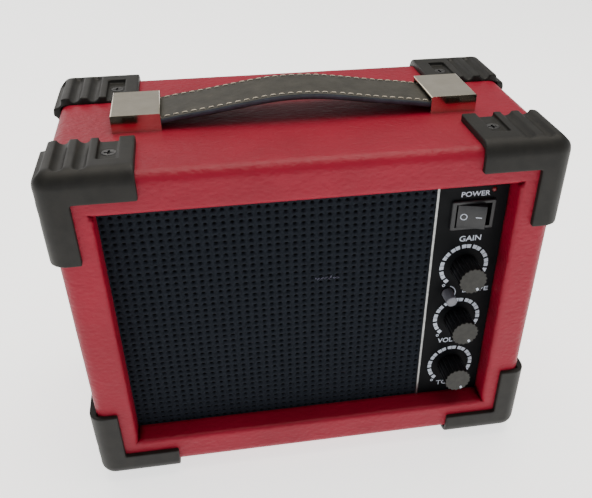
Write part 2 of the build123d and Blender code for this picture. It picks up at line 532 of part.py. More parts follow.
ROLL_IN, ROLL_OUT, ROLL_RISE = 39.9, 44.9, 2.9
ROLL_T, ROLL_LAP = 0.4, 0.2                 # rubber thickness, and how far its rim stops inside the basket's
rim_r = SPEAKER_R - ROLL_LAP
with BuildPart() as cone_surround:
    with BuildSketch(speaker_plane):
        with BuildLine():
            middle = (ROLL_IN + ROLL_OUT) / 2
            crest, rim_y = cone_front - ROLL_RISE, flange_y - SURROUND_RIM_T
            outer_roll = ThreePointArc((ROLL_IN, cone_front), (middle, crest), (ROLL_OUT, rim_y))
            Polyline(outer_roll @ 1, (rim_r, rim_y), (rim_r, flange_y), (ROLL_OUT - ROLL_T, flange_y))
            inner_roll = ThreePointArc((ROLL_OUT - ROLL_T, flange_y), (middle, crest + ROLL_T),
                                       (ROLL_IN + ROLL_T, cone_front))
            Line(inner_roll @ 1, outer_roll @ 0)
        make_face()
    revolve(axis=speaker_axis)
    add(speaker_screws.part, mode=Mode.SUBTRACT)
keep(cone_surround, "cone_surround")

WAVES, WAVE_H, WAVE_END, SPIDER_R = 4, 0.6, 24.0, 26.5
wave_w = (WAVE_END - COIL_OUT) / WAVES
wave_points = [(COIL_OUT + i * wave_w / 2, spider_y + (WAVE_H if i % 2 else -WAVE_H))
               for i in range(1, 2 * WAVES)]
edge_points = [(COIL_OUT, spider_y)] + wave_points + [(WAVE_END, spider_y), (SPIDER_R, spider_y)]
turned("spider", edge_points + [(r, y + SPIDER_T) for r, y in reversed(edge_points)])

# ---- leads inside the cabinet --------------------------------------------------------------------
def lead(points, radius):
    """Round wire along straight runs joined by tangent arcs, as large as the runs allow."""
    corners = [Vector(*p) for p in points]
    radii = []
    for before, corner, after in zip(corners, corners[1:], corners[2:]):
        arriving, leaving = corner - before, after - corner
        turn = radians(arriving.get_angle(leaving))
        reach = 0.45 * min(arriving.length, leaving.length)
        radii.append(reach / (sin(turn / 2) / cos(turn / 2)))
    with BuildLine() as path:
        FilletPolyline(*points, radius=radii)
    with BuildSketch(Plane(origin=path.line @ 0, z_dir=path.line % 0)) as section:
        Circle(radius)
    sweep(sections=section.sketch, path=path.line)


speaker_socket, power_socket = SOCKETS
LEAD_R, SIGNAL_LEAD_R = 0.7, 1.1
LEAD_STEP = 2.0                             # half the spacing of the two speaker leads
POWER_STEP = 1.5                            # the same for the power leads at their inlet
TAG_SPREAD = TAG_STEP / POWER_STEP          # the power leads spread to the switch's outer tags
plug_y = board_back + SOCKET_DEPTH
tag_y = flange_y + 5.0
with BuildPart() as speaker_leads:
    for step in (-LEAD_STEP, LEAD_STEP):
        start_x, start_z = speaker_socket[0] + step, speaker_socket[1]
        tag_x, tag_z = SPEAKER_X + TERMINAL_OUT, MID_Z + step
        lead([(start_x, plug_y, start_z), (start_x, plug_y + 15, start_z), (44 + step, plug_y + 12, tag_z),
              (tag_x + 9, tag_y, tag_z), (tag_x, tag_y, tag_z)], LEAD_R)
keep(speaker_leads, "speaker_leads")

INPUT_X, PHONES_X, POWER_X = JACK_X - 21.0, JACK_X + 1.0, JACK_X + 20.0
INPUT_FRONT, PHONES_FRONT, POWER_FRONT = 30.0, 40.0, 42.0
SIGNAL_RUN = [(-40, 16, 38), (0, 16, 33), (45, 14, 34), (78, 4, 50)]
with BuildPart() as wiring_harness:
    signal_x, signal_z = power_socket[0], power_socket[1] - 4
    lead([(INPUT_X, INPUT_FRONT, JACK_Z), (INPUT_X, 17, JACK_Z), *SIGNAL_RUN,
          (signal_x, plug_y + 14, signal_z), (signal_x, plug_y, signal_z)], SIGNAL_LEAD_R)
    for step in (-POWER_STEP, POWER_STEP):
        start_x, end_x = POWER_X + step, SWITCH_X + TAG_SPREAD * step
        lead([(start_x, POWER_FRONT, JACK_Z + step), (start_x, 28, JACK_Z + step), (-10, 20, 84 + step),
              (34, 18, 118 + step), (62 + step, 6, 134), (end_x, -6, SWITCH_Z),
              (end_x, GRILLE_Y + BODY_DEPTH + TAG_L, SWITCH_Z)], LEAD_R)
keep(wiring_harness, "wiring_harness")

# ---- rear: panel, socket plate and sockets -------------------------------------------------------
with BuildPart() as back_panel:
    block((-IN_X + FIT, REAR_IN, IN_LOW + FIT), (IN_X - FIT, REAR_Y, IN_HIGH - FIT))
    block((JACK_X - CUTOUT_W / 2, 0, JACK_Z - CUTOUT_H / 2),
          (JACK_X + CUTOUT_W / 2, FAR, JACK_Z + CUTOUT_H / 2), Mode.SUBTRACT)
    add(rear_screws.part, mode=Mode.SUBTRACT)
    add(plate_screws.part, mode=Mode.SUBTRACT)
keep(back_panel, "back_panel")

SOCKET_HOLES = {INPUT_X: 4.7, PHONES_X: 3.1, POWER_X: 4.1}
SOCKET_NUT_T, PLATE_CORNER_R = 1.8, 2.5
with BuildPart() as jack_plate:
    block((JACK_X - PLATE_W / 2, REAR_Y, JACK_Z - PLATE_H / 2),
          (JACK_X + PLATE_W / 2, REAR_Y + PLATE_T, JACK_Z + PLATE_H / 2))
    fillet(jack_plate.edges().filter_by(Axis.Y), PLATE_CORNER_R)
    for x, hole_r in SOCKET_HOLES.items():
        with BuildSketch(along_y(x, REAR_Y + PLATE_T, JACK_Z)):
            Circle(hole_r)
        extrude(amount=PLATE_T, mode=Mode.SUBTRACT)
    add(plate_screws.part, mode=Mode.SUBTRACT)
keep(jack_plate, "jack_plate")


def socket(x, body, front, bush_r, bush_out, bore_r, depth, nut_r):
    """Panel socket: body behind the plate, bush through it, nut outside, blind bore from the mouth."""
    mouth_y = REAR_Y + PLATE_T + bush_out
    with BuildPart() as piece:
        block((x - body / 2, front, JACK_Z - body / 2), (x + body / 2, REAR_Y, JACK_Z + body / 2))
        with BuildSketch(along_y(x, mouth_y, JACK_Z)):
            Circle(bush_r)
        extrude(amount=mouth_y - REAR_Y)
        with BuildSketch(along_y(x, REAR_Y + PLATE_T + SOCKET_NUT_T, JACK_Z)):
            Circle(nut_r)
        extrude(amount=SOCKET_NUT_T)
        with BuildSketch(along_y(x, mouth_y, JACK_Z)):
            Circle(bore_r)
        extrude(amount=depth, mode=Mode.SUBTRACT)
    return piece


input_jack = socket(INPUT_X, body=16.0, front=INPUT_FRONT, bush_r=4.6, bush_out=3.0, bore_r=3.2,
                    depth=26.0, nut_r=6.4)
keep(input_jack, "input_jack")
headphone_jack = socket(PHONES_X, body=11.0, front=PHONES_FRONT, bush_r=3.0, bush_out=2.5, bore_r=1.8,
                        depth=15.0, nut_r=4.4)
keep(headphone_jack, "headphone_jack")
INLET_PIN_R, INLET_PIN_L = 1.0, 9.5
with BuildPart() as dc_inlet:
    add(socket(POWER_X, body=12.0, front=POWER_FRONT, bush_r=4.0, bush_out=2.0, bore_r=2.85, depth=10.0,
               nut_r=5.4).part)
    with BuildSketch(along_y(POWER_X, REAR_Y + PLATE_T + 1.0, JACK_Z)):
        Circle(INLET_PIN_R)
    extrude(amount=INLET_PIN_L)
keep(dc_inlet, "dc_inlet")

# ---- handle: arched strap held down at both ends under caps --------------------------------------
ARCH_RISE = 13.4
strap_end = TOP + STRAP_SEAT + STRAP_T
TAB_X, TAB_END = 72.0, 81.4                 # flat end tabs inside the caps
TAB_CORNER_R = 5.0
BOLT_SLOT = (6.4, 4.6)                      # lets the strap's ends slide a little
ARCH = [(TAB_X, strap_end), (62.0, TOP + 6.0), (39.0, TOP + 9.2), (14.0, TOP + 12.7), (0.0, TOP + ARCH_RISE)]
upper = ARCH + [(-x, z) for x, z in reversed(ARCH[:-1])]
lower = [(x, z - STRAP_T) for x, z in upper]
with BuildPart() as handle_strap:
    with BuildSketch(Plane.XZ.offset(-STRAP_W / 2)):
        with BuildLine():
            for edge_points in (upper, lower):
                Spline(*edge_points, tangents=[(-1, 0), (-1, 0)])
                Line(edge_points[0], (TAB_END, edge_points[0][1]))
                Line(edge_points[-1], (-TAB_END, edge_points[-1][1]))
            for end_x in (TAB_END, -TAB_END):
                Line((end_x, strap_end), (end_x, strap_end - STRAP_T))
        make_face()
    extrude(amount=STRAP_W)
    fillet(handle_strap.edges().filter_by(Axis.Z), TAB_CORNER_R)
    for bolt_x in (-BOLT_X, BOLT_X):
        with BuildSketch(Plane.XY.offset(TOP)):
            with Locations((bolt_x, 0)):
                SlotOverall(*BOLT_SLOT)
        extrude(amount=STRAP_T + 1.0, mode=Mode.SUBTRACT)
keep(handle_strap, "handle_strap")

CAP_WALL, CAP_SIDE_WALL, CAP_EDGE_R = 1.0, 0.6, 0.6
for side, name in ((-1, "left_handle_cap"), (1, "right_handle_cap")):
    inner, outer = side * (CAP_X - CAP_L / 2), side * (CAP_X + CAP_L / 2)
    with BuildPart() as cap:
        block((min(inner, outer), -CAP_W / 2, TOP), (max(inner, outer), CAP_W / 2, TOP + CAP_H))
        fillet(cap.edges().filter_by(Axis.Y).group_by(Axis.Z)[-1], CAP_EDGE_R)
        hollow_in, hollow_out = inner - side, outer - side * CAP_WALL
        block((min(hollow_in, hollow_out), CAP_SIDE_WALL - CAP_W / 2, TOP - 1),
              (max(hollow_in, hollow_out), CAP_W / 2 - CAP_SIDE_WALL, TOP + CAP_H - CAP_WALL), Mode.SUBTRACT)
    keep(cap, name)

# ---- corner protectors ---------------------------------------------------------------------------
GROOVE_R, GROOVE_DROP = 2.8, 0.8            # round grooves between the ribs
GROOVES = (7.0, 15.8)                       # in from the cabinet's edge
GROOVE_START = 4.2                          # behind the cabinet's face, to the centre of their round ends
FLAT = (21.8, 30.3)                         # sunk flat round the screw
FLAT_START = 9.5
OUTER_R = 7.5                               # rounding of the protector's outer edges


def protector_shape(depth):
    """Right, front, top protector, with the cabinet's corner at the origin and the cabinet at -x, +y, -z."""
    rib_top = CORNER_SIDE + GROOVE_DROP
    round_edge = CORNER_SIDE - OUTER_R + (OUTER_R + GROOVE_DROP) * cos(radians(45))
    groove_spots = [(round_edge, round_edge)]
    for groove in GROOVES:
        groove_spots += [(-groove, rib_top), (rib_top, -groove)]
    with BuildPart() as shape:
        block((-CORNER_X, -CORNER_FRONT, -CORNER_Z), (CORNER_SIDE, depth, CORNER_SIDE))
        tip = Vector(CORNER_SIDE, -CORNER_FRONT, CORNER_SIDE)
        fillet([edge for edge in shape.edges() if tip in (edge @ 0, edge @ 1)], OUTER_R)
        block((-FAR, 0, -FAR), (0, FAR, 0), Mode.SUBTRACT)
        block((-FAR, -FAR, -FAR), (-LIP, 0, -LIP), Mode.SUBTRACT)
        for x, z in groove_spots:
            with BuildSketch(Plane(origin=(x, GROOVE_START, z), x_dir=(1, 0, 0), z_dir=(0, 1, 0))):
                Circle(GROOVE_R)
            extrude(amount=depth, mode=Mode.SUBTRACT)
            with Locations((x, GROOVE_START, z)):
                Sphere(GROOVE_R, mode=Mode.SUBTRACT)
        block((-FLAT[1], FLAT_START, CORNER_SEAT), (-FLAT[0], FAR, FAR), Mode.SUBTRACT)
        block((CORNER_SEAT, FLAT_START, -FLAT[1]), (FAR, FAR, -FLAT[0]), Mode.SUBTRACT)
    return shape.part


front_shape, back_shape = protector_shape(CORNER_Y_FRONT), protector_shape(CORNER_Y_BACK)
for side, end, face in CORNERS:
    shape = front_shape if end < 0 else back_shape
    if side < 0:
        shape = mirror(shape, about=Plane.YZ)
    if end > 0:
        shape = mirror(shape, about=Plane.XZ)
    if face < 0:
        shape = mirror(shape, about=Plane.XY)
    with BuildPart() as protector:
        with Locations((side * CAB_W / 2, end * CAB_D / 2, MID_Z + face * CAB_H / 2)):
            add(shape)
        add(corner_holes.part, mode=Mode.SUBTRACT)
    face_word, end_word = ("top" if face > 0 else "bottom"), ("front" if end < 0 else "rear")
    side_word = "left" if side < 0 else "right"
    keep(protector, f"corner_{face_word}_{end_word}_{side_word}")

# ---- feet ----------------------------------------------------------------------------------------
with BuildPart() as rubber_feet:
    for x, y in foot_spots:
        with BuildSketch(Plane.XY):
            with Locations((x, y)):
                Circle(FOOT_R - FOOT_TAPER)
        with BuildSketch(Plane.XY.offset(FOOT_H)):
            with Locations((x, y)):
                Circle(FOOT_R)
        loft()
        with BuildSketch(Plane.XY):
            with Locations((x, y)):
                Circle(FOOT_WELL_R)
        extrude(amount=FOOT_H - FOOT_SEAT, mode=Mode.SUBTRACT)
    add(foot_screws.part, mode=Mode.SUBTRACT)
keep(rubber_feet, "rubber_feet")
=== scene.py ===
"""Looks of the small practice guitar amplifier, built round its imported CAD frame."""
import json
import math
import random

import bmesh
import bpy
from mathutils import Matrix, Vector


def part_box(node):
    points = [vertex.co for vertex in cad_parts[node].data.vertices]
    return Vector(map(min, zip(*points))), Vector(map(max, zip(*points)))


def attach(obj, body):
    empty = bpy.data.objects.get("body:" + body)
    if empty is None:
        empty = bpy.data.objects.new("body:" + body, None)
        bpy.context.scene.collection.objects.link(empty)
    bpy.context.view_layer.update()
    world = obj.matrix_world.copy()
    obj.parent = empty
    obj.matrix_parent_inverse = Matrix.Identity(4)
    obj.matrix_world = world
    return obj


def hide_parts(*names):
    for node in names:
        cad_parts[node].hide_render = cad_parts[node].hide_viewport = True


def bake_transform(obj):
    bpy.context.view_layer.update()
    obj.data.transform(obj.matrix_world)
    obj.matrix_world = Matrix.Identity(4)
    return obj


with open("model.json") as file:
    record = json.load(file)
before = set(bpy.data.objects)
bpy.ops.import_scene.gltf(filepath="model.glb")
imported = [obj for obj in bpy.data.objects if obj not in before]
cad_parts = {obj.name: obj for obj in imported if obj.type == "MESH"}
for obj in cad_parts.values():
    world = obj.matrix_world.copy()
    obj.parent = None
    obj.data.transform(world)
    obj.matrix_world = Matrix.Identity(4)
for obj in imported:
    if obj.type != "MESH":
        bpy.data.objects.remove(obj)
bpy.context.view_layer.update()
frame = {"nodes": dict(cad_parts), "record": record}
nodes = frame["nodes"]
ROOT = "amplifier"


# ---- where things are, read from the frame ---------------------------------------------------
def span(node):
    low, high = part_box(node)
    return low, high, (low + high) / 2


skin_low, skin_high, skin_mid = span("vinyl_covering")
cloth_low, cloth_high, _ = span("grille_cloth")
FRONT_Y, BACK_Y = skin_low.y, skin_high.y
PANEL_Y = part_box("control_panel")[0].y


# ---- camera: fitted to the cabinet's corners and edges in the photo ----------------------------
CAM_AZIMUTH, CAM_ELEVATION = math.radians(-9.714), math.radians(37.038)
CAM_DISTANCE = 0.34867
CAM_TARGET = Vector((-0.00026, FRONT_Y, skin_low.z + 0.08028))
camera_data = bpy.data.cameras.new("camera")
camera = bpy.data.objects.new("camera", camera_data)
bpy.context.scene.collection.objects.link(camera)
to_camera = Vector((math.sin(CAM_AZIMUTH) * math.cos(CAM_ELEVATION),
                    -math.cos(CAM_AZIMUTH) * math.cos(CAM_ELEVATION), math.sin(CAM_ELEVATION)))
camera.location = CAM_TARGET + to_camera * CAM_DISTANCE
camera.rotation_mode = "QUATERNION"
camera.rotation_quaternion = to_camera.to_track_quat("Z", "Y")
camera_data.sensor_width = 36.0
camera_data.lens = 44.06
camera_data.shift_x = -0.0319
camera_data.shift_y = 0.1297
camera_data.clip_start = 0.01
camera_data.clip_end = 20.0
bpy.context.scene.camera = camera


# ---- weave of the grille cloth ---------------------------------------------------------------
PITCH_X, PITCH_Z = 0.0040, 0.0033               # from one opening to the next
HOLE_W, HOLE_H = 0.00160, 0.00110
CLOTH_TRIM = 0.0001                             # the weave stops this far inside its node's box
CLOTH_X0, CLOTH_Z0 = cloth_low.x + CLOTH_TRIM, cloth_low.z + CLOTH_TRIM


# ---- material helpers --------------------------------------------------------------------------
class Shader:
    """A Principled material, with its texture nodes fed by object coordinates in metres."""

    def __init__(self, name, color, roughness=0.5, metallic=0.0, specular=0.5, sheen=0.0):
        self.material = bpy.data.materials.new(name)
        self.material.use_nodes = True
        self.tree = self.material.node_tree
        self.bsdf = self.tree.nodes["Principled BSDF"]
        self.set("Base Color", (*color, 1.0))
        self.set("Roughness", roughness)
        self.set("Metallic", metallic)
        self.set("Specular IOR Level", specular)
        self.set("Sheen Weight", sheen)
        self.coords = self.node("ShaderNodeTexCoord").outputs["Object"]
        self.height = None

    def set(self, socket, value):
        self.bsdf.inputs[socket].default_value = value

    def node(self, kind, **settings):
        made = self.tree.nodes.new(kind)
        for key, value in settings.items():
            setattr(made, key, value)
        return made

    def link(self, source, target):
        self.tree.links.new(source, target)

    def stretched(self, scale):
        mapping = self.node("ShaderNodeMapping")
        mapping.inputs["Scale"].default_value = scale
        self.link(self.coords, mapping.inputs["Vector"])
        return mapping.outputs["Vector"]

    def noise(self, size, detail=3.0, rough=0.5, stretch=None, distortion=0.0):
        """Noise whose blobs are about size metres across, from 0 to 1."""
        made = self.node("ShaderNodeTexNoise")
        made.inputs["Scale"].default_value = 1.0 / size
        made.inputs["Detail"].default_value = detail
        made.inputs["Roughness"].default_value = rough
        made.inputs["Distortion"].default_value = distortion
        self.link(self.stretched(stretch) if stretch else self.coords, made.inputs["Vector"])
        return made.outputs["Fac"]

    def cells(self, size, stretch=None):
        """Soft pebbles about size metres across, as distance from their middles."""
        made = self.node("ShaderNodeTexVoronoi", feature="SMOOTH_F1")
        made.inputs["Scale"].default_value = 1.0 / size
        self.link(self.stretched(stretch) if stretch else self.coords, made.inputs["Vector"])
        return made.outputs["Distance"]

    def mottle(self, size, dark, light, low=0.3, high=0.7, **settings):
        """Colour that drifts between dark and light, in blobs about size metres across."""
        cloud = self.noise(size, **settings)
        made = self.node("ShaderNodeValToRGB")
        for element, position, color in zip(made.color_ramp.elements, (low, high), (dark, light)):
            element.position = position
            element.color = (*color, 1.0)
        self.link(cloud, made.inputs["Fac"])
        return made.outputs["Color"]

    def span(self, value, low, high, from_low=0.0, from_high=1.0):
        made = self.node("ShaderNodeMapRange")
        made.inputs["From Min"].default_value = from_low
        made.inputs["From Max"].default_value = from_high
        made.inputs["To Min"].default_value = low
        made.inputs["To Max"].default_value = high
        self.link(value, made.inputs["Value"])
        return made.outputs["Result"]

    def math(self, operation, first, second=None):
        made = self.node("ShaderNodeMath", operation=operation)
        for socket, value in zip(made.inputs, (first, second)):
            if value is None:
                continue
            if isinstance(value, (int, float)):
                socket.default_value = value
            else:
                self.link(value, socket)
        return made.outputs["Value"]

    def mix(self, share, first, second):
        made = self.node("ShaderNodeMix", data_type="RGBA")
        for name, value in (("Factor", share), ("A", first), ("B", second)):
            socket = next(s for s in made.inputs if s.name == name and s.enabled)
            if isinstance(value, tuple):
                socket.default_value = (*value, 1.0)
            elif isinstance(value, (int, float)):
                socket.default_value = value
            else:
                self.link(value, socket)
        return next(s for s in made.outputs if s.name == "Result" and s.enabled)

    def color(self, source):
        self.link(source, self.bsdf.inputs["Base Color"])

    def roughness(self, source):
        self.link(source, self.bsdf.inputs["Roughness"])

    def bump(self, value, depth, strength=1.0):
        """Adds relief, depth metres high, on top of any that is there."""
        made = self.node("ShaderNodeBump")
        made.inputs["Distance"].default_value = depth
        made.inputs["Strength"].default_value = strength
        self.link(value, made.inputs["Height"])
        if self.height is not None:
            self.link(self.height, made.inputs["Normal"])
        self.height = made.outputs["Normal"]
        self.link(self.height, self.bsdf.inputs["Normal"])


def speckle(shader, base, light, size, rough):
    """Common finish: fine mottled colour, uneven gloss."""
    shader.color(shader.mottle(size, base, light, high=0.62, detail=5.0, rough=0.6))
    shader.roughness(shader.span(shader.noise(size * 3.1, detail=4.0), rough[0], rough[1]))


def red_vinyl():
    s = Shader("red_vinyl", (0.25, 0.003, 0.014), roughness=0.46, specular=0.24)
    s.color(s.mottle(0.035, (0.190, 0.0008, 0.0125), (0.245, 0.0014, 0.0175), low=0.25, high=0.75,
                     detail=4.0, rough=0.55))
    s.roughness(s.span(s.noise(0.004, detail=5.0), 0.36, 0.58))
    s.bump(s.cells(0.0016, stretch=(0.7, 1.0, 1.0)), 0.0004, 0.55)
    s.bump(s.noise(0.0009, detail=3.0, distortion=1.2), 0.00016, 0.6)
    s.bump(s.noise(0.009, detail=3.0, distortion=0.8), 0.0009, 0.40)
    return s.material


def plastic(name, base, light, rough, grain=0.0006, specular=0.30):
    s = Shader(name, base, roughness=rough, specular=specular)
    speckle(s, base, light, 0.006, rough=(rough - 0.07, rough + 0.09))
    s.bump(s.noise(grain, detail=3.0, rough=0.6), 0.00006, 0.6)
    return s.material


def knob_plastic():
    """Black knob, its fluted side painted darker than its flat face as painted shade, the face painted paler
    as if lit.
    """
    s = Shader("knob_black", (0.008, 0.008, 0.008), roughness=0.45, specular=0.22)
    split = s.node("ShaderNodeSeparateXYZ")
    s.link(s.coords, split.inputs["Vector"])
    face_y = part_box("gain_knob")[0].y
    lit_face_share = s.span(split.outputs["Y"], 1.0, 0.0, face_y + 0.0003, face_y + 0.0006)
    # painted shade: the fluted side's colour is darkened to stand for the shade on it, and the face colour
    # below is painted paler as if lit
    side = s.mottle(0.004, (0.0022, 0.0024, 0.0030), (0.0050, 0.0052, 0.0060), detail=5.0)
    face = s.mottle(0.002, (0.015, 0.0150, 0.0130), (0.026, 0.0255, 0.0225), detail=6.0)
    s.color(s.mix(lit_face_share, side, face))
    s.roughness(s.span(s.noise(0.003, detail=5.0), 0.40, 0.58))
    s.bump(s.noise(0.0004, detail=3.0), 0.00006, 0.6)
    return s.material


def cloth_material():
    """Woven cloth: openings in a grid painted near black as the shade inside them, threads between them a
    little lighter.
    """
    s = Shader("grille_cloth", (0.008, 0.010, 0.014), roughness=0.80, specular=0.06, sheen=0.03)
    split = s.node("ShaderNodeSeparateXYZ")
    s.link(s.coords, split.inputs["Vector"])
    distance = None
    for axis, start, pitch, width in (("X", CLOTH_X0, PITCH_X, HOLE_W), ("Z", CLOTH_Z0, PITCH_Z, HOLE_H)):
        cell = s.math("FRACT", s.math("DIVIDE", s.math("SUBTRACT", split.outputs[axis], start), pitch))
        off = s.math("MULTIPLY", s.math("SUBTRACT", cell, 0.5), 2 * pitch / width)
        square = s.math("MULTIPLY", off, off)
        distance = square if distance is None else s.math("ADD", distance, square)
    hole_shade_share = s.span(distance, 1.0, 0.0, 0.75, 1.35)
    fibre = s.mottle(0.0009, (0.0035, 0.0048, 0.0072), (0.0125, 0.0160, 0.0225), high=0.75,
                     detail=5.0, rough=0.7)
    # painted shade: the openings are coloured near black for the shade seen through them
    s.color(s.mix(hole_shade_share, fibre, (0.0006, 0.0007, 0.0010)))
    s.bump(s.noise(0.00035, detail=3.0, stretch=(2.0, 2.0, 0.7)), 0.00014, 0.9)
    return s.material


def chrome():
    s = Shader("chrome", (0.60, 0.55, 0.47), roughness=0.10, metallic=1.0)
    s.roughness(s.span(s.noise(0.004, detail=6.0), 0.06, 0.18))
    s.color(s.mottle(0.009, (0.62, 0.55, 0.42), (0.72, 0.65, 0.51), detail=5.0))
    return s.material


def leather():
    s = Shader("strap_leather", (0.024, 0.022, 0.017), roughness=0.55, specular=0.30)
    s.color(s.mottle(0.007, (0.018, 0.0165, 0.0125), (0.038, 0.035, 0.027), low=0.28, high=0.72, detail=6.0))
    s.roughness(s.span(s.noise(0.003, detail=5.0), 0.45, 0.68))
    s.bump(s.cells(0.0011), 0.0001, 0.5)
    s.bump(s.noise(0.0005, detail=3.0), 0.00008, 0.6)
    return s.material


def edge_paint():
    s = Shader("strap_edge", (0.020, 0.026, 0.038), roughness=0.36, specular=0.45)
    s.color(s.mottle(0.004, (0.014, 0.018, 0.026), (0.030, 0.038, 0.055), detail=5.0))
    s.bump(s.noise(0.0008, detail=3.0), 0.00006, 0.6)
    return s.material


def metal(name, base, light, rough, size=0.002):
    s = Shader(name, base, roughness=rough, metallic=1.0)
    speckle(s, base, light, size, rough=(rough - 0.08, rough + 0.12))
    s.bump(s.noise(size / 4, detail=3.0), 0.00003, 0.4)
    return s.material


def painted(name, base, light, rough, specular=0.18):
    s = Shader(name, base, roughness=rough, specular=specular)
    speckle(s, base, light, 0.01, rough=(rough - 0.05, rough + 0.08))
    s.bump(s.noise(0.0005, detail=2.0), 0.00003, 0.5)
    return s.material


def fibreboard():
    s = Shader("fibreboard", (0.42, 0.30, 0.19), roughness=0.8)
    s.color(s.mottle(0.0016, (0.30, 0.21, 0.13), (0.48, 0.36, 0.24), detail=6.0, stretch=(1, 0.4, 1)))
    s.bump(s.noise(0.0007, detail=4.0), 0.0001, 0.6)
    return s.material


def paper():
    s = Shader("cone_paper", (0.030, 0.030, 0.030), roughness=0.85)
    s.color(s.mottle(0.0012, (0.020, 0.020, 0.020), (0.055, 0.055, 0.055), detail=6.0))
    s.bump(s.noise(0.0006, detail=4.0), 0.0001, 0.7)
    return s.material


def legend_paint():
    s = Shader("legend_paint", (0.46, 0.50, 0.58), roughness=0.55, specular=0.3)
    s.color(s.mottle(0.0009, (0.36, 0.40, 0.47), (0.52, 0.56, 0.64), low=0.25, detail=4.0))
    return s.material


def thread():
    s = Shader("stitch_thread", (0.62, 0.56, 0.44), roughness=0.7, sheen=0.2)
    s.color(s.mottle(0.0008, (0.38, 0.33, 0.25), (0.56, 0.50, 0.40), detail=4.0))
    s.bump(s.noise(0.0003, detail=2.0, stretch=(3, 1, 1)), 0.00008, 0.8)
    return s.material


def fluff(name, base, light):
    s = Shader(name, base, roughness=0.8, specular=0.2, sheen=0.2)
    speckle(s, base, light, 0.0012, rough=(0.7, 0.9))
    return s.material


def lamp():
    s = Shader("led_red", (0.11, 0.004, 0.006), roughness=0.28, specular=0.35)
    s.color(s.mottle(0.0012, (0.075, 0.003, 0.005), (0.15, 0.007, 0.009), detail=3.0))
    return s.material


MATERIALS = {
    "red_vinyl": red_vinyl(),
    "corner_plastic": plastic("corner_plastic", (0.0062, 0.0060, 0.0052), (0.0118, 0.0112, 0.0094), 0.50,
                              specular=0.20),
    "panel_black": painted("panel_black", (0.0018, 0.0022, 0.0028), (0.0038, 0.0044, 0.0052), 0.55,
                           specular=0.07),
    "rear_panel_black": painted("rear_panel_black", (0.012, 0.012, 0.012), (0.024, 0.024, 0.023), 0.62),
    "grille_cloth": cloth_material(),
    "bright_strip": metal("bright_strip", (0.20, 0.21, 0.21), (0.30, 0.31, 0.31), 0.34),
    "cap_chrome": chrome(),
    "strap_leather": leather(),
    "board_wood": fibreboard(),
    "led_red": lamp(),
    "switch_black": plastic("switch_black", (0.0080, 0.0088, 0.0105), (0.0125, 0.0135, 0.0155), 0.40,
                            grain=0.0004, specular=0.35),
    "button_grey": plastic("button_grey", (0.105, 0.110, 0.130), (0.15, 0.155, 0.175), 0.35,
                           grain=0.0004),
    "control_body": plastic("control_body", (0.02, 0.02, 0.02), (0.04, 0.04, 0.04), 0.5),
    "zinc_plated": metal("zinc_plated", (0.50, 0.50, 0.49), (0.66, 0.66, 0.64), 0.34),
    "knob_black": knob_plastic(),
    "circuit_green": painted("circuit_green", (0.010, 0.075, 0.030), (0.018, 0.11, 0.045), 0.35),
    "component_black": plastic("component_black", (0.015, 0.015, 0.018), (0.03, 0.03, 0.034), 0.4),
    "heat_sink_aluminium": metal("heat_sink_aluminium", (0.40, 0.41, 0.42), (0.56, 0.57, 0.58), 0.38),
    "basket_steel": painted("basket_steel", (0.012, 0.012, 0.012), (0.024, 0.024, 0.024), 0.45),
    "gasket_felt": paper(),
    "ferrite": plastic("ferrite", (0.018, 0.018, 0.019), (0.035, 0.035, 0.036), 0.6),
    "plated_steel": metal("plated_steel", (0.48, 0.48, 0.46), (0.62, 0.62, 0.60), 0.32),
    "cone_paper": paper(),
    "coil_copper": metal("coil_copper", (0.55, 0.24, 0.12), (0.70, 0.34, 0.18), 0.3),
    "surround_rubber": plastic("surround_rubber", (0.014, 0.014, 0.014), (0.026, 0.026, 0.026), 0.6),
    "screw_black": metal("screw_black", (0.05, 0.05, 0.052), (0.10, 0.10, 0.10), 0.42),
    "bolt_steel": metal("bolt_steel", (0.48, 0.48, 0.48), (0.60, 0.60, 0.60), 0.3),
    "lead_insulation": plastic("lead_insulation", (0.03, 0.03, 0.035), (0.05, 0.05, 0.055), 0.5),
    "plate_steel": painted("plate_steel", (0.012, 0.012, 0.013), (0.022, 0.022, 0.023), 0.38),
    "socket_black": plastic("socket_black", (0.016, 0.016, 0.017), (0.030, 0.030, 0.031), 0.4),
    "foot_rubber": plastic("foot_rubber", (0.014, 0.014, 0.014), (0.028, 0.028, 0.028), 0.7),
    "legend_paint": legend_paint(),
    "stitch_thread": thread(),
    "strap_edge": edge_paint(),
    "lint_fluff": fluff("lint_fluff", (0.16, 0.15, 0.24), (0.26, 0.25, 0.36)),
    "seam_glue": fluff("seam_glue", (0.36, 0.05, 0.07), (0.52, 0.12, 0.14)),
}

# ---- CAD nodes that stay: their materials --------------------------------------------------------
node_slot = {row["node"]: row["material_slot"] for row in frame["record"]["subparts"]}
for name, obj in nodes.items():
    obj.data.materials.clear()
    obj.data.materials.append(MATERIALS[node_slot[name]])


# ---- mesh helpers --------------------------------------------------------------------------------
def place(name, mesh, material, body):
    """Adds a mesh as a piece that rides on a body, or stands by itself where body is None."""
    obj = bpy.data.objects.new(name, mesh)
    bpy.context.scene.collection.objects.link(obj)
    mesh.materials.clear()
    mesh.materials.append(MATERIALS[material])
    if body:
        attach(obj, body)
    return obj


def add_object(name, verts, faces, material, body=ROOT, smooth=True):
    mesh = bpy.data.meshes.new(name)
    mesh.from_pydata([tuple(v) for v in verts], [], faces)
    mesh.validate()
    mesh.update()
    for polygon in mesh.polygons:
        polygon.use_smooth = smooth
    return place(name, mesh, material, body)


def bridge(rings):
    """Quads between neighbouring closed rings of equal length."""
    faces, count = [], len(rings[0])
    for i in range(len(rings) - 1):
        for k in range(count):
            n = (k + 1) % count
            faces.append((i * count + k, i * count + n, (i + 1) * count + n, (i + 1) * count + k))
    return faces


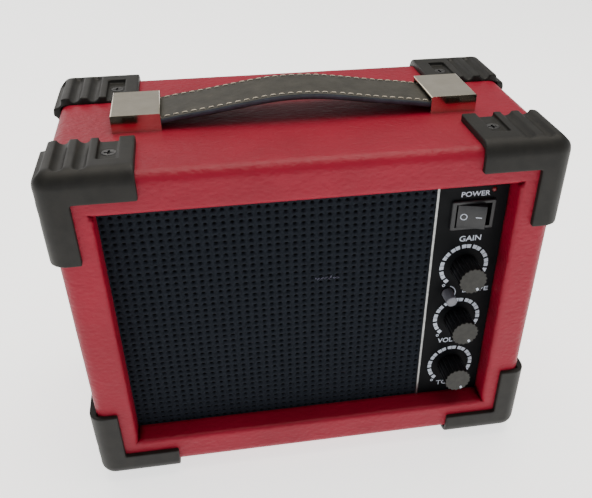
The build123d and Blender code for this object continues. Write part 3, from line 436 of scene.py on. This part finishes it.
def tube(rings, base=0):
    """Bridged rings with a flat face at each end, for vertices numbered from base."""
    size, last = len(rings[0]), (len(rings) - 1) * len(rings[0])
    faces = bridge(rings) + [tuple(range(size)), tuple(reversed(range(last, last + size)))]
    return [tuple(base + corner for corner in face) for face in faces]


# ---- red covering: one skin lofted from the recess, over the edges, to the back ------------------
WALL = 0.0164                                   # board and covering together
SKIN = 0.0008
OUTER_ARC, INNER_ARC = 0.0048, 0.0016           # radii of the outer edges and of the recess's lip
LEAST_ARC = 0.0004                              # radius at the recess's own corners
LIP_DEPTHS = (0.0125, 0.0095, 0.0065, 0.004)    # rings down the inside of the recess
LIP_STEPS, FACE_STEPS, EDGE_STEPS, SIDE_STEPS = 6, 6, 10, 22
ROW_X, ROW_Z, CORNER_STEPS = 44, 34, 8          # a ring's divisions along width, height and corners
HALF_W, HALF_H = (skin_high.x - skin_low.x) / 2, (skin_high.z - skin_low.z) / 2
MID_Z = skin_mid.z
ON_FACE = 0.0005                                # nearer than this to a face counts as on it
WAVE, WAVE_FLOOR = 0.00006, 0.00002


def skin_profile():
    """(inward distance, depth from the front) pairs, from inside the recess out to the side's flat face."""
    points = [(WALL, depth) for depth in LIP_DEPTHS]
    for i in range(LIP_STEPS + 1):
        a = math.radians(90 * i / LIP_STEPS)
        points.append((WALL - INNER_ARC * (1 - math.cos(a)), INNER_ARC * (1 - math.sin(a))))
    flat = WALL - INNER_ARC - OUTER_ARC
    points += [(WALL - INNER_ARC - flat * i / FACE_STEPS, 0.0) for i in range(1, FACE_STEPS)]
    for i in range(EDGE_STEPS + 1):
        a = math.radians(90 * i / EDGE_STEPS)
        points.append((OUTER_ARC * (1 - math.sin(a)), OUTER_ARC * (1 - math.cos(a))))
    return points


def ring_outline(inward):
    """Rounded rectangle, inward from the outer faces, as a fixed number of (x, z) points."""
    radius = max(OUTER_ARC - inward, LEAST_ARC)
    reach_x, reach_z = HALF_W - inward - radius, HALF_H - inward - radius
    centres = [Vector((sx * reach_x, sz * reach_z)) for sx, sz in ((1, 1), (-1, 1), (-1, -1), (1, -1))]
    points = []
    for quarter, centre in enumerate(centres):
        for i in range(CORNER_STEPS + 1):
            a = math.radians(90 * quarter + 90 * i / CORNER_STEPS)
            points.append((centre.x + radius * math.cos(a), centre.y + radius * math.sin(a)))
        start, turned = Vector(points[-1]), math.radians(90 * (quarter + 1))
        end = centres[(quarter + 1) % 4] + radius * Vector((math.cos(turned), math.sin(turned)))
        count = ROW_X if quarter % 2 == 0 else ROW_Z
        points += [tuple(start.lerp(end, i / count)) for i in range(1, count)]
    return points


def make_skin():
    profile = skin_profile()
    straight = BACK_Y - FRONT_Y - 2 * OUTER_ARC
    rings = [(inward, FRONT_Y + y) for inward, y in profile]
    rings += [(0.0, FRONT_Y + OUTER_ARC + straight * i / SIDE_STEPS) for i in range(1, SIDE_STEPS)]
    rings += [(inward, BACK_Y - y) for inward, y in reversed(profile)]
    loops = [[(x, y, MID_Z + z) for x, z in ring_outline(inward)] for inward, y in rings]
    verts = [point for loop in loops for point in loop]
    obj = add_object("vinyl_skin", verts, bridge(loops), "red_vinyl")
    # the glued covering is slightly wavy on the sides and the top, always inward
    for vertex in obj.data.vertices:
        p = vertex.co
        on_side = abs(p.x) > HALF_W - ON_FACE
        if on_side or p.z > skin_high.z - ON_FACE:
            wave = math.sin(p.x * 71 + 1.3) * math.sin(p.y * 83 + 0.4) + math.sin(p.z * 67 + p.x * 31)
            outward = Vector((math.copysign(1, p.x), 0, 0)) if on_side else Vector((0, 0, 1))
            vertex.co = p - outward * (abs(wave * WAVE) + WAVE_FLOOR)
    solid = obj.modifiers.new("thickness", "SOLIDIFY")
    solid.thickness = SKIN
    solid.offset = -1.0
    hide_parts("vinyl_covering")


make_skin()


# ---- woven grille cloth ---------------------------------------------------------------------------
GRID_X, GRID_Z = 316, 300
HOLE_DEPTH, WEAVE_DROP = 0.00070, 0.00024       # openings behind the weave, weave behind the front plane
RIB_RISE, RIB_W, PILLOW_RISE = 0.00016, 0.00042, 0.00034
HOLE_SQUARE, HOLE_STEEP = 2.6, 2.4              # how square an opening is, and how steep its sides are
EDGE_FADE = 0.002


def weave_relief(col, row, edge):
    """Depth of the cloth behind its front plane, at a place counted in openings; edge is 0 at the border."""
    u = (col - math.floor(col) - 0.5) * PITCH_X
    w = (row - math.floor(row) - 0.5) * PITCH_Z
    across, up = abs(u) / (HOLE_W * 0.62), abs(w) / (HOLE_H * 0.66)
    hole = min(1.0, HOLE_STEEP * max(0.0, 1 - across ** HOLE_SQUARE - up ** HOLE_SQUARE))
    rib = max(0.0, 1 - ((abs(u) - PITCH_X / 2) / RIB_W) ** 2)
    pillow = math.cos(math.pi * u / PITCH_X) ** 2 * (0.5 - 0.5 * math.cos(2 * math.pi * w / PITCH_Z))
    return HOLE_DEPTH * hole + WEAVE_DROP - (RIB_RISE * rib + PILLOW_RISE * pillow) * edge


def make_cloth():
    x0, x1 = CLOTH_X0, cloth_high.x - CLOTH_TRIM
    z0, z1 = CLOTH_Z0, cloth_high.z - CLOTH_TRIM
    verts, faces = [], []
    for j in range(GRID_Z + 1):
        z = z0 + (z1 - z0) * j / GRID_Z
        for i in range(GRID_X + 1):
            x = x0 + (x1 - x0) * i / GRID_X
            edge = min(1.0, min(x - x0, x1 - x, z - z0, z1 - z) / EDGE_FADE)
            relief = weave_relief((x - x0) / PITCH_X, (z - z0) / PITCH_Z, edge)
            verts.append((x, cloth_low.y + relief, z))
    row = GRID_X + 1
    for j in range(GRID_Z):
        for a in range(j * row, j * row + GRID_X):
            faces.append((a, a + 1, a + row + 1, a + row))
    obj = add_object("woven_grille", verts, faces, "grille_cloth")
    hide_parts("grille_cloth")


make_cloth()


# ---- strap: padded leather top, painted edges, two rows of stitches ------------------------------
STRAP_T, STRAP_W = 0.0029, 0.0285
STRAP_END_X, STRAP_END_ARC = 0.0814, 0.005      # the strap's end, and the radius of its end's corners
STRAP_STEP, CURVE_STEPS = 0.0008, 24
TOP_Z = skin_high.z
ARCH = [(x, TOP_Z + rise) for x, rise in ((STRAP_END_X, 0.0032), (0.0720, 0.0032), (0.0620, 0.0060),
                                          (0.0390, 0.0092), (0.0140, 0.0127), (0.0, 0.0134))]
CROWN = 0.00028                                 # how far the strap's top bulges
STITCH_INSET, STITCH_END_X = 0.0020, 0.0800
STITCH_GROOVE, GROOVE_W = 0.00022, 0.00035
STITCH_PITCH, STITCH_LENGTH, STITCH_WANDER = 0.0040, 0.0026, 0.00012
STITCH_START = 0.0006
STITCH_STEPS, THREAD_SIDES, THREAD_R = 8, 8, 0.00032
THREAD_LIFT, THREAD_SINK, THREAD_TWIST = 0.00004, 0.00034, 0.00006


def arch_curve():
    """Dense (x, z) points along the strap's top, from right to left: flat under the caps, arched between."""
    points = [Vector(p) for p in ARCH + [(-x, z) for x, z in reversed(ARCH[:-1])]]
    last, level = len(points) - 2, Vector((-1, 0))
    dense = []
    for i in range(last + 1):
        before, start, end, after = (points[min(max(k, 0), last + 1)] for k in range(i - 1, i + 3))
        reach = (end - start).length
        leaving, arriving = (end - before).normalized(), (after - start).normalized()
        if i in (0, last):
            leaving = arriving = (end - start).normalized()
        if i == 1:
            leaving = level
        if i == last - 1:
            arriving = level
        for k in range(CURVE_STEPS):
            t = k / CURVE_STEPS
            dense.append((2 * t**3 - 3 * t**2 + 1) * start + (t**3 - 2 * t**2 + t) * reach * leaving
                         + (3 * t**2 - 2 * t**3) * end + (t**3 - t**2) * reach * arriving)
    dense.append(points[-1])
    return dense


def evenly_spaced(points, step):
    """The same line, as points about step apart."""
    lengths = [0.0]
    for a, b in zip(points, points[1:]):
        lengths.append(lengths[-1] + (b - a).length)
    count = round(lengths[-1] / step)
    even, k = [], 0
    for n in range(count + 1):
        want = lengths[-1] * n / count
        while k < len(lengths) - 2 and lengths[k + 1] < want:
            k += 1
        share = (want - lengths[k]) / (lengths[k + 1] - lengths[k])
        even.append(points[k].lerp(points[k + 1], share))
    return even


path = evenly_spaced(arch_curve(), STRAP_STEP)
normals = []
for n in range(len(path)):
    run = path[min(n + 1, len(path) - 1)] - path[max(n - 1, 0)]
    normals.append(Vector((run.y, -run.x)).normalized())


def strap_section():
    """(across, down) round the strap: a padded top with a stitched border, square edges, flat underside."""
    w = STRAP_W / 2
    insets = (0.0004, 0.0010, 0.0017, 0.0020, 0.0023, 0.0030, 0.0045, 0.008)
    downs = (0.0004, 0.0012, 0.0016, 0.0024)
    points = []
    for x in [-w + inset for inset in insets] + [0.0] + [w - inset for inset in reversed(insets)]:
        groove = STITCH_GROOVE * math.exp(-((w - abs(x) - STITCH_INSET) / GROOVE_W) ** 2)
        points.append((x, CROWN * (x / w) ** 2 + groove))
    points += [(w, down) for down in downs]
    points += [(x, STRAP_T) for x in (w - 0.0004, w - 0.006, 0.0, -w + 0.006, -w + 0.0004)]
    points += [(-w, down) for down in reversed(downs)]
    return points


def make_strap():
    section, half = strap_section(), STRAP_W / 2
    loops = []
    for p, n in zip(path, normals):
        past = max(0.0, STRAP_END_ARC - (STRAP_END_X - abs(p.x)))
        pull = STRAP_END_ARC - math.sqrt(max(STRAP_END_ARC**2 - past**2, 0.0))
        loop = []
        for across, down in section:
            y = math.copysign(min(abs(across), half - pull * abs(across) / half), across)
            spot = p - n * down
            loop.append((spot.x, y, spot.y))
        loops.append(loop)
    verts = [point for loop in loops for point in loop]
    obj = add_object("strap", verts, tube(loops), "strap_leather")
    obj.data.materials.append(MATERIALS["strap_edge"])
    edge = {i for i, (across, _) in enumerate(section) if math.isclose(abs(across), half)}
    for polygon in obj.data.polygons:
        end_face = len(polygon.vertices) > 4
        if end_face or all(v % len(section) in edge for v in polygon.vertices):
            polygon.material_index = 1
    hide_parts("handle_strap")


def stitch_rings(start, y, step):
    """Rings of one stitch, its ends sunk into the leather; none if it would pass the strap's end."""
    rings = []
    for i in range(STITCH_STEPS + 1):
        along = (start + STITCH_LENGTH * i / STITCH_STEPS) / step
        a = min(int(along), len(path) - 2)
        p, n = path[a].lerp(path[a + 1], along - a), normals[a]
        if abs(p.x) > STITCH_END_X:
            return []
        taper = (2 * i / STITCH_STEPS - 1) ** 4
        size = THREAD_R * (1 - 0.45 * taper)
        twist = THREAD_TWIST * math.sin(9 * i / STITCH_STEPS)
        ring = []
        for m in range(THREAD_SIDES):
            t = 2 * math.pi * m / THREAD_SIDES
            up = THREAD_LIFT - THREAD_SINK * taper + size * 0.8 * math.sin(t)
            ring.append((p.x + n.x * up, y + size * math.cos(t) + twist, p.y + n.y * up))
        rings.append(ring)
    return rings


def make_stitches():
    verts, faces = [], []
    length = sum((b - a).length for a, b in zip(path, path[1:]))
    random.seed(11)
    for side in (-1, 1):
        y = side * (STRAP_W / 2 - STITCH_INSET)
        for k in range(int(length / STITCH_PITCH)):
            start = k * STITCH_PITCH + STITCH_START + random.uniform(-STITCH_WANDER, STITCH_WANDER)
            rings = stitch_rings(start, y, length / (len(path) - 1))
            if rings:
                faces += tube(rings, base=len(verts))
                verts += [point for ring in rings for point in ring]
    add_object("strap_stitches", verts, faces, "stitch_thread")


make_strap()
make_stitches()


# ---- legends: thin printed shapes a hair above their faces ----------------------------------------
PRINT = 0.00004
DIALS = ("gain", "volume", "tone")
RING_IN, RING_OUT, RING_WANDER = 0.0104, 0.0124, 4e-5
MARKS, MARK_STEP = 11, 28                       # marks of a dial, and degrees from one to the next
MARK_GAP, MARK_END = 0.8, 11.3                  # degrees from a mark to each end of the block beside it
ZERO_ANGLE, ZERO_AT, ZERO_IN, ZERO_OUT = -139, 0.01385, 0.00042, 0.00078
BUTTON_ARC = (0.0040, 0.0044, 15, 120)
POINTERS = {"gain": 150.6, "volume": 151.9, "tone": 155.7}
POINTER_ENDS = ((0.0046, 0.00050), (0.0062, 0.00060))   # (distance from the axis, half width)
knob_low, _, knob_mid = span("gain_knob")
DIAL_X = knob_mid.x
dial_z = {name: span(name + "_knob")[2].z for name in DIALS}


def flat_shape(name, outlines, y, body=ROOT):
    """Printed patches facing the front: each outline is a closed list of (x, z)."""
    verts, faces = [], []
    for outline in outlines:
        faces.append(tuple(range(len(verts), len(verts) + len(outline))))
        verts += [(x, y, z) for x, z in outline]
    add_object(name, verts, faces, "legend_paint", body=body, smooth=False)


def arc_block(cx, cz, inner, outer, start, end):
    """Outline of a ring piece, angles in degrees clockwise from the top."""
    count = max(2, int(abs(end - start) / 3))
    angles = [math.radians(start + (end - start) * i / count) for i in range(count + 1)]
    ring = [(cx + outer * math.sin(a), cz + outer * math.cos(a)) for a in angles]
    return ring + [(cx + inner * math.sin(a), cz + inner * math.cos(a)) for a in reversed(angles)]


def dial_marks():
    """Broken rings with a gap at each mark, a small o at zero, and an arc beside the push button."""
    blocks = []
    random.seed(3)
    for cz in dial_z.values():
        for i in range(MARKS):
            middle = MARK_STEP * (i - (MARKS - 1) // 2)
            for half in (-1, 1):
                if (i == 0 and half < 0) or (i == MARKS - 1 and half > 0):
                    continue
                start, end = sorted((middle + half * MARK_GAP, middle + half * MARK_END))
                inner = RING_IN + random.uniform(-RING_WANDER, RING_WANDER)
                outer = RING_OUT + random.uniform(-RING_WANDER, RING_WANDER)
                blocks.append(arc_block(DIAL_X, cz, inner, outer, start, end))
        zero = math.radians(ZERO_ANGLE)
        x, z = DIAL_X + ZERO_AT * math.sin(zero), cz + ZERO_AT * math.cos(zero)
        blocks += [arc_block(x, z, ZERO_IN, ZERO_OUT, start, start + 90) for start in (0, 90, 180, 270)]
    button = span("drive_button")[2]
    blocks.append(arc_block(button.x, button.z, *BUTTON_ARC))
    flat_shape("dial_marks", blocks, PANEL_Y - PRINT)


def pointer(name, angle):
    """Short line on a knob's face, angle in degrees clockwise from the top."""
    a = math.radians(angle)
    out, side = Vector((math.sin(a), math.cos(a))), Vector((math.cos(a), -math.sin(a)))
    centre = Vector((DIAL_X, dial_z[name]))
    (near, near_w), (far, far_w) = POINTER_ENDS
    corners = ((near, -near_w), (far, -far_w), (far, far_w), (near, near_w))
    outline = [tuple(centre + out * r + side * s) for r, s in corners]
    flat_shape(f"{name}_pointer", [outline], knob_low.y - PRINT, body=f"{name}_control")


dial_marks()
for name, angle in POINTERS.items():
    pointer(name, angle)

FONT_PER_CAP, FONT_BOLDER = 1.38, 0.016         # font size and thickening, per height of a capital


def word_mesh(text, x, y, z, height, wide, turn):
    """One word standing upright, its lower left corner at (x, y, z) as its reader sees it."""
    curve = bpy.data.curves.new("word", "FONT")
    curve.body = text
    curve.size = height * FONT_PER_CAP
    curve.offset = height * FONT_BOLDER
    curve.resolution_u = 3
    obj = bpy.data.objects.new("word", curve)
    bpy.context.scene.collection.objects.link(obj)
    obj.matrix_world = (Matrix.Translation((x, y, z)) @ turn @ Matrix.Rotation(math.pi / 2, 4, "X")
                        @ Matrix.Diagonal((wide, 1, 1, 1)))
    bpy.context.view_layer.update()
    mesh = bpy.data.meshes.new_from_object(obj.evaluated_get(bpy.context.evaluated_depsgraph_get()))
    mesh.transform(obj.matrix_world)
    bpy.data.objects.remove(obj)
    return mesh


def lettering(name, words, y, facing_back=False):
    """Words printed on one upright face: each is (text, left x, base z, height of capitals, widening)."""
    turn = Matrix.Rotation(math.pi, 4, "Z") if facing_back else Matrix.Identity(4)
    joined = bmesh.new()
    for text, x, z, height, wide in words:
        mesh = word_mesh(text, x, y, z, height, wide, turn)
        joined.from_mesh(mesh)
        bpy.data.meshes.remove(mesh)
    bmesh.ops.remove_doubles(joined, verts=joined.verts, dist=1e-7)
    mesh = bpy.data.meshes.new(name)
    joined.to_mesh(mesh)
    joined.free()
    place(name, mesh, "legend_paint", ROOT)


lettering("panel_lettering", [
    ("GAIN", 0.0717, 0.1212, 0.0030, 1.12), ("VOLUME", 0.0676, 0.0599, 0.0030, 1.02),
    ("TONE", 0.0696, 0.0302, 0.0030, 1.12), ("POWER", 0.0698, 0.1449, 0.0026, 1.12),
    ("DRIVE", 0.0768, 0.0912, 0.0024, 1.55)], PANEL_Y - PRINT)


# ---- marks on the rocker's two ends, a hair clear of its slightly hollow face -------------------------
power_rock = next(joint for joint in frame["record"]["behaviour"]["joints"] if joint["name"] == "power_rock")
PIVOT_X, PIVOT_Y, _ = power_rock["pos_m"]
ROCKER_TILT = math.radians(power_rock["range_deg"][1] / 2)
ROCKER_REACH, ROCKER_HALF, ROCKER_HOLLOW = 0.0052, 0.0066, 0.00035
OFF_AT, OFF_IN, OFF_OUT, OFF_STEP = -0.0036, 0.00128, 0.00162, 30
ON_AT, ON_STEP, ON_PIECES, ON_HALF = 0.0019, 0.0004, 7, 0.00022


def on_rocker(along, up):
    """A point of the rocker's tilted front face, from its place along the face and its height."""
    y = -(ROCKER_REACH - ROCKER_HOLLOW * (1 - (along / ROCKER_HALF) ** 2) + PRINT)
    return (PIVOT_X + along * math.cos(ROCKER_TILT) + y * math.sin(ROCKER_TILT),
            PIVOT_Y - along * math.sin(ROCKER_TILT) + y * math.cos(ROCKER_TILT), up)


def rocker_marks():
    """An o at the off end and a dash at the on end, in short pieces that follow the hollow."""
    middle_z = span("switch_rocker")[2].z
    outlines = [arc_block(OFF_AT, 0.0, OFF_IN, OFF_OUT, start, start + OFF_STEP)
                for start in range(0, 360, OFF_STEP)]
    for i in range(ON_PIECES):
        left, right = ON_AT + ON_STEP * i, ON_AT + ON_STEP * (i + 1)
        outlines.append([(left, -ON_HALF), (right, -ON_HALF), (right, ON_HALF), (left, ON_HALF)])
    verts, faces = [], []
    for outline in outlines:
        faces.append(tuple(range(len(verts), len(verts) + len(outline))))
        verts += [on_rocker(along, middle_z + up) for along, up in outline]
    add_object("rocker_marks", verts, faces, "legend_paint", body="rocker", smooth=False)


rocker_marks()

# ---- names of the sockets, on the rear plate ---------------------------------------------------------
plate_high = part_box("jack_plate")[1]
SOCKET_NAME_Z, SOCKET_NAME_H = plate_high.z - 0.0045, 0.0020
lettering("socket_lettering", [
    (text, x, SOCKET_NAME_Z, SOCKET_NAME_H, 1.0)
    for text, x in (("INPUT", -0.0618), ("PHONES", -0.0390), ("DC IN", -0.0222))],
    plate_high.y + PRINT, facing_back=True)


# ---- CAD nodes: softened edges, without touching their meshes ---------------------------------------
MOULD_VOXEL, MOULD_PASSES = 0.00045, 9
WELD, BEVEL_ANGLE = 0.000004, math.radians(32.0)


def mould(obj):
    """Softly moulded look of the corner protectors."""
    remesh = obj.modifiers.new("remesh", "REMESH")
    remesh.mode = "VOXEL"
    remesh.voxel_size = MOULD_VOXEL
    remesh.use_smooth_shade = True
    smooth = obj.modifiers.new("smooth", "SMOOTH")
    smooth.factor = 0.5
    smooth.iterations = MOULD_PASSES


def soften(names, width, segments=2):
    """Rounds the sharp edges of CAD nodes for the render."""
    for name in names:
        weld = nodes[name].modifiers.new("weld", "WELD")
        weld.merge_threshold = WELD
        bevel = nodes[name].modifiers.new("bevel", "BEVEL")
        bevel.width = width
        bevel.segments = segments
        bevel.limit_method = "ANGLE"
        bevel.angle_limit = BEVEL_ANGLE
        bevel.use_clamp_overlap = True
        bevel.harden_normals = True


for name, obj in nodes.items():
    if name.startswith("corner_") and name != "corner_screws":
        mould(obj)
soften([name + "_knob" for name in DIALS], 0.00035, segments=3)
soften(["left_handle_cap", "right_handle_cap"], 0.00030, segments=3)
soften(["switch_housing", "switch_rocker", "corner_screws", "panel_screws"], 0.00018)


# ---- soft parts of the loudspeaker that bend as the cone moves ---------------------------------------
cone_mid = span("speaker_cone")[2]
CONE_X, CONE_Z = cone_mid.x, cone_mid.z
SECTORS, SECTOR_STEPS = 16, 6
surround_low, surround_high, _ = span("cone_surround")
ROLL_IN, ROLL_OUT, ROLL_T, ROLL_STEPS = 0.0399, 0.0449, 0.0004, 8
SURROUND_RIM = (surround_high.x - surround_low.x) / 2
spider_low, spider_high, spider_mid = span("spider")
SPIDER_IN, WAVE_END, SPIDER_T = 0.01015, 0.0240, 0.0003
SPIDER_RIM = (spider_high.x - spider_low.x) / 2
WAVES, WAVE_STEPS = 4, 32


def flexible_ring(node, section):
    """A turned soft part, in sectors that reach from the basket at one radius to the cone at another."""
    for k in range(SECTORS):
        first, last = 2 * math.pi * k / SECTORS, 2 * math.pi * (k + 1) / SECTORS
        rings = []
        for i in range(SECTOR_STEPS + 1):
            a = first + (last - first) * i / SECTOR_STEPS
            rings.append([(CONE_X + r * math.cos(a), y, CONE_Z + r * math.sin(a)) for r, y in section])
        verts = [point for ring in rings for point in ring]
        obj = add_object(f"{node}_sector_{k + 1}", verts, tube(rings), "surround_rubber",
                         body=None)
        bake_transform(obj)
        if k == 0:
            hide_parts(node)


def surround_section():
    """(radius, y) outline of a half roll with a flat rim under the gasket."""
    base_y = surround_high.y - ROLL_T
    rise = base_y - surround_low.y
    middle, half = (ROLL_IN + ROLL_OUT) / 2, (ROLL_OUT - ROLL_IN) / 2
    top, under = [], []
    for i in range(ROLL_STEPS + 1):
        a = math.pi * (1 - i / ROLL_STEPS)
        top.append((middle + half * math.cos(a), base_y - rise * math.sin(a)))
        under.append((middle + (half - ROLL_T) * math.cos(a), base_y - (rise - ROLL_T) * math.sin(a)))
    rim = [(SURROUND_RIM, base_y), (SURROUND_RIM, surround_high.y), (ROLL_OUT - ROLL_T, surround_high.y)]
    return top + rim + list(reversed(under))[1:]


def spider_section():
    """(radius, y) outline of a waved sheet with a flat rim."""
    height = (spider_high.y - spider_low.y - SPIDER_T) / 2
    level = spider_mid.y - SPIDER_T / 2
    line = []
    for i in range(WAVE_STEPS + 1):
        share = i / WAVE_STEPS
        line.append((SPIDER_IN + (WAVE_END - SPIDER_IN) * share,
                     level + height * math.sin(2 * math.pi * WAVES * share)))
    line.append((SPIDER_RIM, level))
    return line + [(r, y + SPIDER_T) for r, y in reversed(line)]


flexible_ring("cone_surround", surround_section())
flexible_ring("spider", spider_section())


# ---- lint, glue threads and the seams of the covering ----------------------------------------------
UPRIGHT, LEVEL = Vector((0, 0, 1)), Vector((0, 1, 0))
THREAD_STEPS = 8
LINT_X, LINT_RUN, LINT_Z, LINT_COUNT = 0.0015, 0.0110, 0.1075, 26
LINT_SPREAD, LINT_LIFT = 0.0004, 0.00012
LEDGE_Z = skin_low.z + WALL + 0.00006           # just over the foot of the recess
GLUE_RIGHT_X, GLUE_SPREAD, DUST_HALF_X = 0.0915, 0.014, 0.09
SEAM_INSET, SEAM_LENGTH, SEAM_LIFT = 0.0012, 0.0085, 0.00003


def fine_threads(name, starts, radius, material, second, wander=0.25):
    """Short crooked threads across X and a second direction: each is (point, heading, length)."""
    verts, faces = [], []
    first = Vector((1, 0, 0))
    for point, heading, length in starts:
        spot, base = Vector(point), len(verts)
        for i in range(THREAD_STEPS):
            run = first * math.cos(heading) + second * math.sin(heading)
            across = first * -math.sin(heading) + second * math.cos(heading)
            lift = run.cross(across)
            for k in range(4):
                t = math.pi / 2 * k
                verts.append(spot + (across * math.cos(t) + lift * math.sin(t)) * radius)
            spot = spot + run * (length / THREAD_STEPS)
            heading += random.uniform(-wander, wander)
        faces += [tuple(base + q for q in face) for face in bridge([range(4)] * THREAD_STEPS)]
    add_object(name, verts, faces, material)


def lint():
    """Faint fluff in a short row on the cloth."""
    random.seed(21)
    starts = []
    for i in range(LINT_COUNT):
        x = LINT_X + LINT_RUN * i / (LINT_COUNT - 1) + random.gauss(0, LINT_SPREAD)
        z = LINT_Z + random.gauss(0, LINT_SPREAD)
        starts.append(((x, cloth_low.y - LINT_LIFT, z), random.uniform(-0.6, 0.6), 0.0010))
    fine_threads("lint", starts, 0.00005, "lint_fluff", UPRIGHT)


def glue_threads():
    """Fine dried glue and dust at the foot of the recess, most of it at the right."""
    random.seed(8)
    starts = []
    for _ in range(26):
        x = GLUE_RIGHT_X - abs(random.gauss(0, GLUE_SPREAD))
        y = random.uniform(FRONT_Y + 0.0015, cloth_low.y - 0.001)
        starts.append(((x, y, LEDGE_Z), random.uniform(0, math.pi), random.uniform(0.0006, 0.0035)))
    for _ in range(22):
        x = random.uniform(-DUST_HALF_X, DUST_HALF_X)
        y = cloth_low.y - random.uniform(0.0003, 0.002)
        starts.append(((x, y, LEDGE_Z), random.uniform(0, 3), 0.0005))
    fine_threads("glue_threads", starts, 0.00004, "lint_fluff", LEVEL)


def mitre_seams():
    """Where the covering is cut and butted at the inner corners of the front."""
    random.seed(4)
    starts = []
    for sx, sz in ((-1, -1), (1, -1), (1, 1), (-1, 1)):
        x, z = sx * (HALF_W - WALL + SEAM_INSET), MID_Z + sz * (HALF_H - WALL + SEAM_INSET)
        starts.append(((x, FRONT_Y - SEAM_LIFT, z), math.atan2(sz, sx), SEAM_LENGTH))
    fine_threads("mitre_seams", starts, 0.00009, "seam_glue", UPRIGHT, wander=0.02)


lint()
glue_threads()
mitre_seams()


# ---- studio: pale floor, soft lights -------------------------------------------------------------------
FLOOR_HALF = 25.0


def make_floor():
    """White paper that glows a little, so that it stays near white behind the object."""
    mesh = bpy.data.meshes.new("floor")
    corners = [(x * FLOOR_HALF, y * FLOOR_HALF, 0) for x, y in ((-1, -1), (1, -1), (1, 1), (-1, 1))]
    mesh.from_pydata(corners, [], [(0, 1, 2, 3)])
    floor = bpy.data.objects.new("floor", mesh)
    bpy.context.scene.collection.objects.link(floor)
    s = Shader("floor_paper", (0.80, 0.80, 0.79), roughness=0.9, specular=0.1)
    s.color(s.mottle(0.4, (0.79, 0.79, 0.78), (0.82, 0.82, 0.81)))
    s.set("Emission Color", (1.0, 0.995, 0.98, 1.0))
    s.set("Emission Strength", 1.7)
    mesh.materials.append(s.material)


def area_light(name, location, size, power, color):
    """Rectangular light aimed at the middle of the cabinet."""
    data = bpy.data.lights.new(name, "AREA")
    data.shape = "RECTANGLE"
    data.size, data.size_y = size
    data.energy = power
    data.color = color
    obj = bpy.data.objects.new(name, data)
    bpy.context.scene.collection.objects.link(obj)
    obj.location = location
    obj.rotation_mode = "QUATERNION"
    obj.rotation_quaternion = (Vector(location) - Vector((0, 0, MID_Z))).to_track_quat("Z", "Y")


make_floor()
area_light("key", (0.10, 0.15, 1.10), (0.9, 0.9), 14.0, (1.0, 0.94, 0.84))
area_light("front", (-0.25, -1.10, 0.55), (1.1, 0.8), 0.8, (0.55, 0.66, 1.0))
area_light("side", (1.0, -0.25, 0.50), (0.7, 0.7), 1.0, (0.95, 0.96, 1.0))
area_light("back", (-0.6, 0.95, 0.60), (0.8, 0.8), 3.0, (1.0, 0.97, 0.94))

world = bpy.data.worlds.new("world")
world.use_nodes = True
background = world.node_tree.nodes["Background"]
background.inputs["Color"].default_value = (0.88, 0.88, 0.88, 1.0)
background.inputs["Strength"].default_value = 0.56
bpy.context.scene.world = world
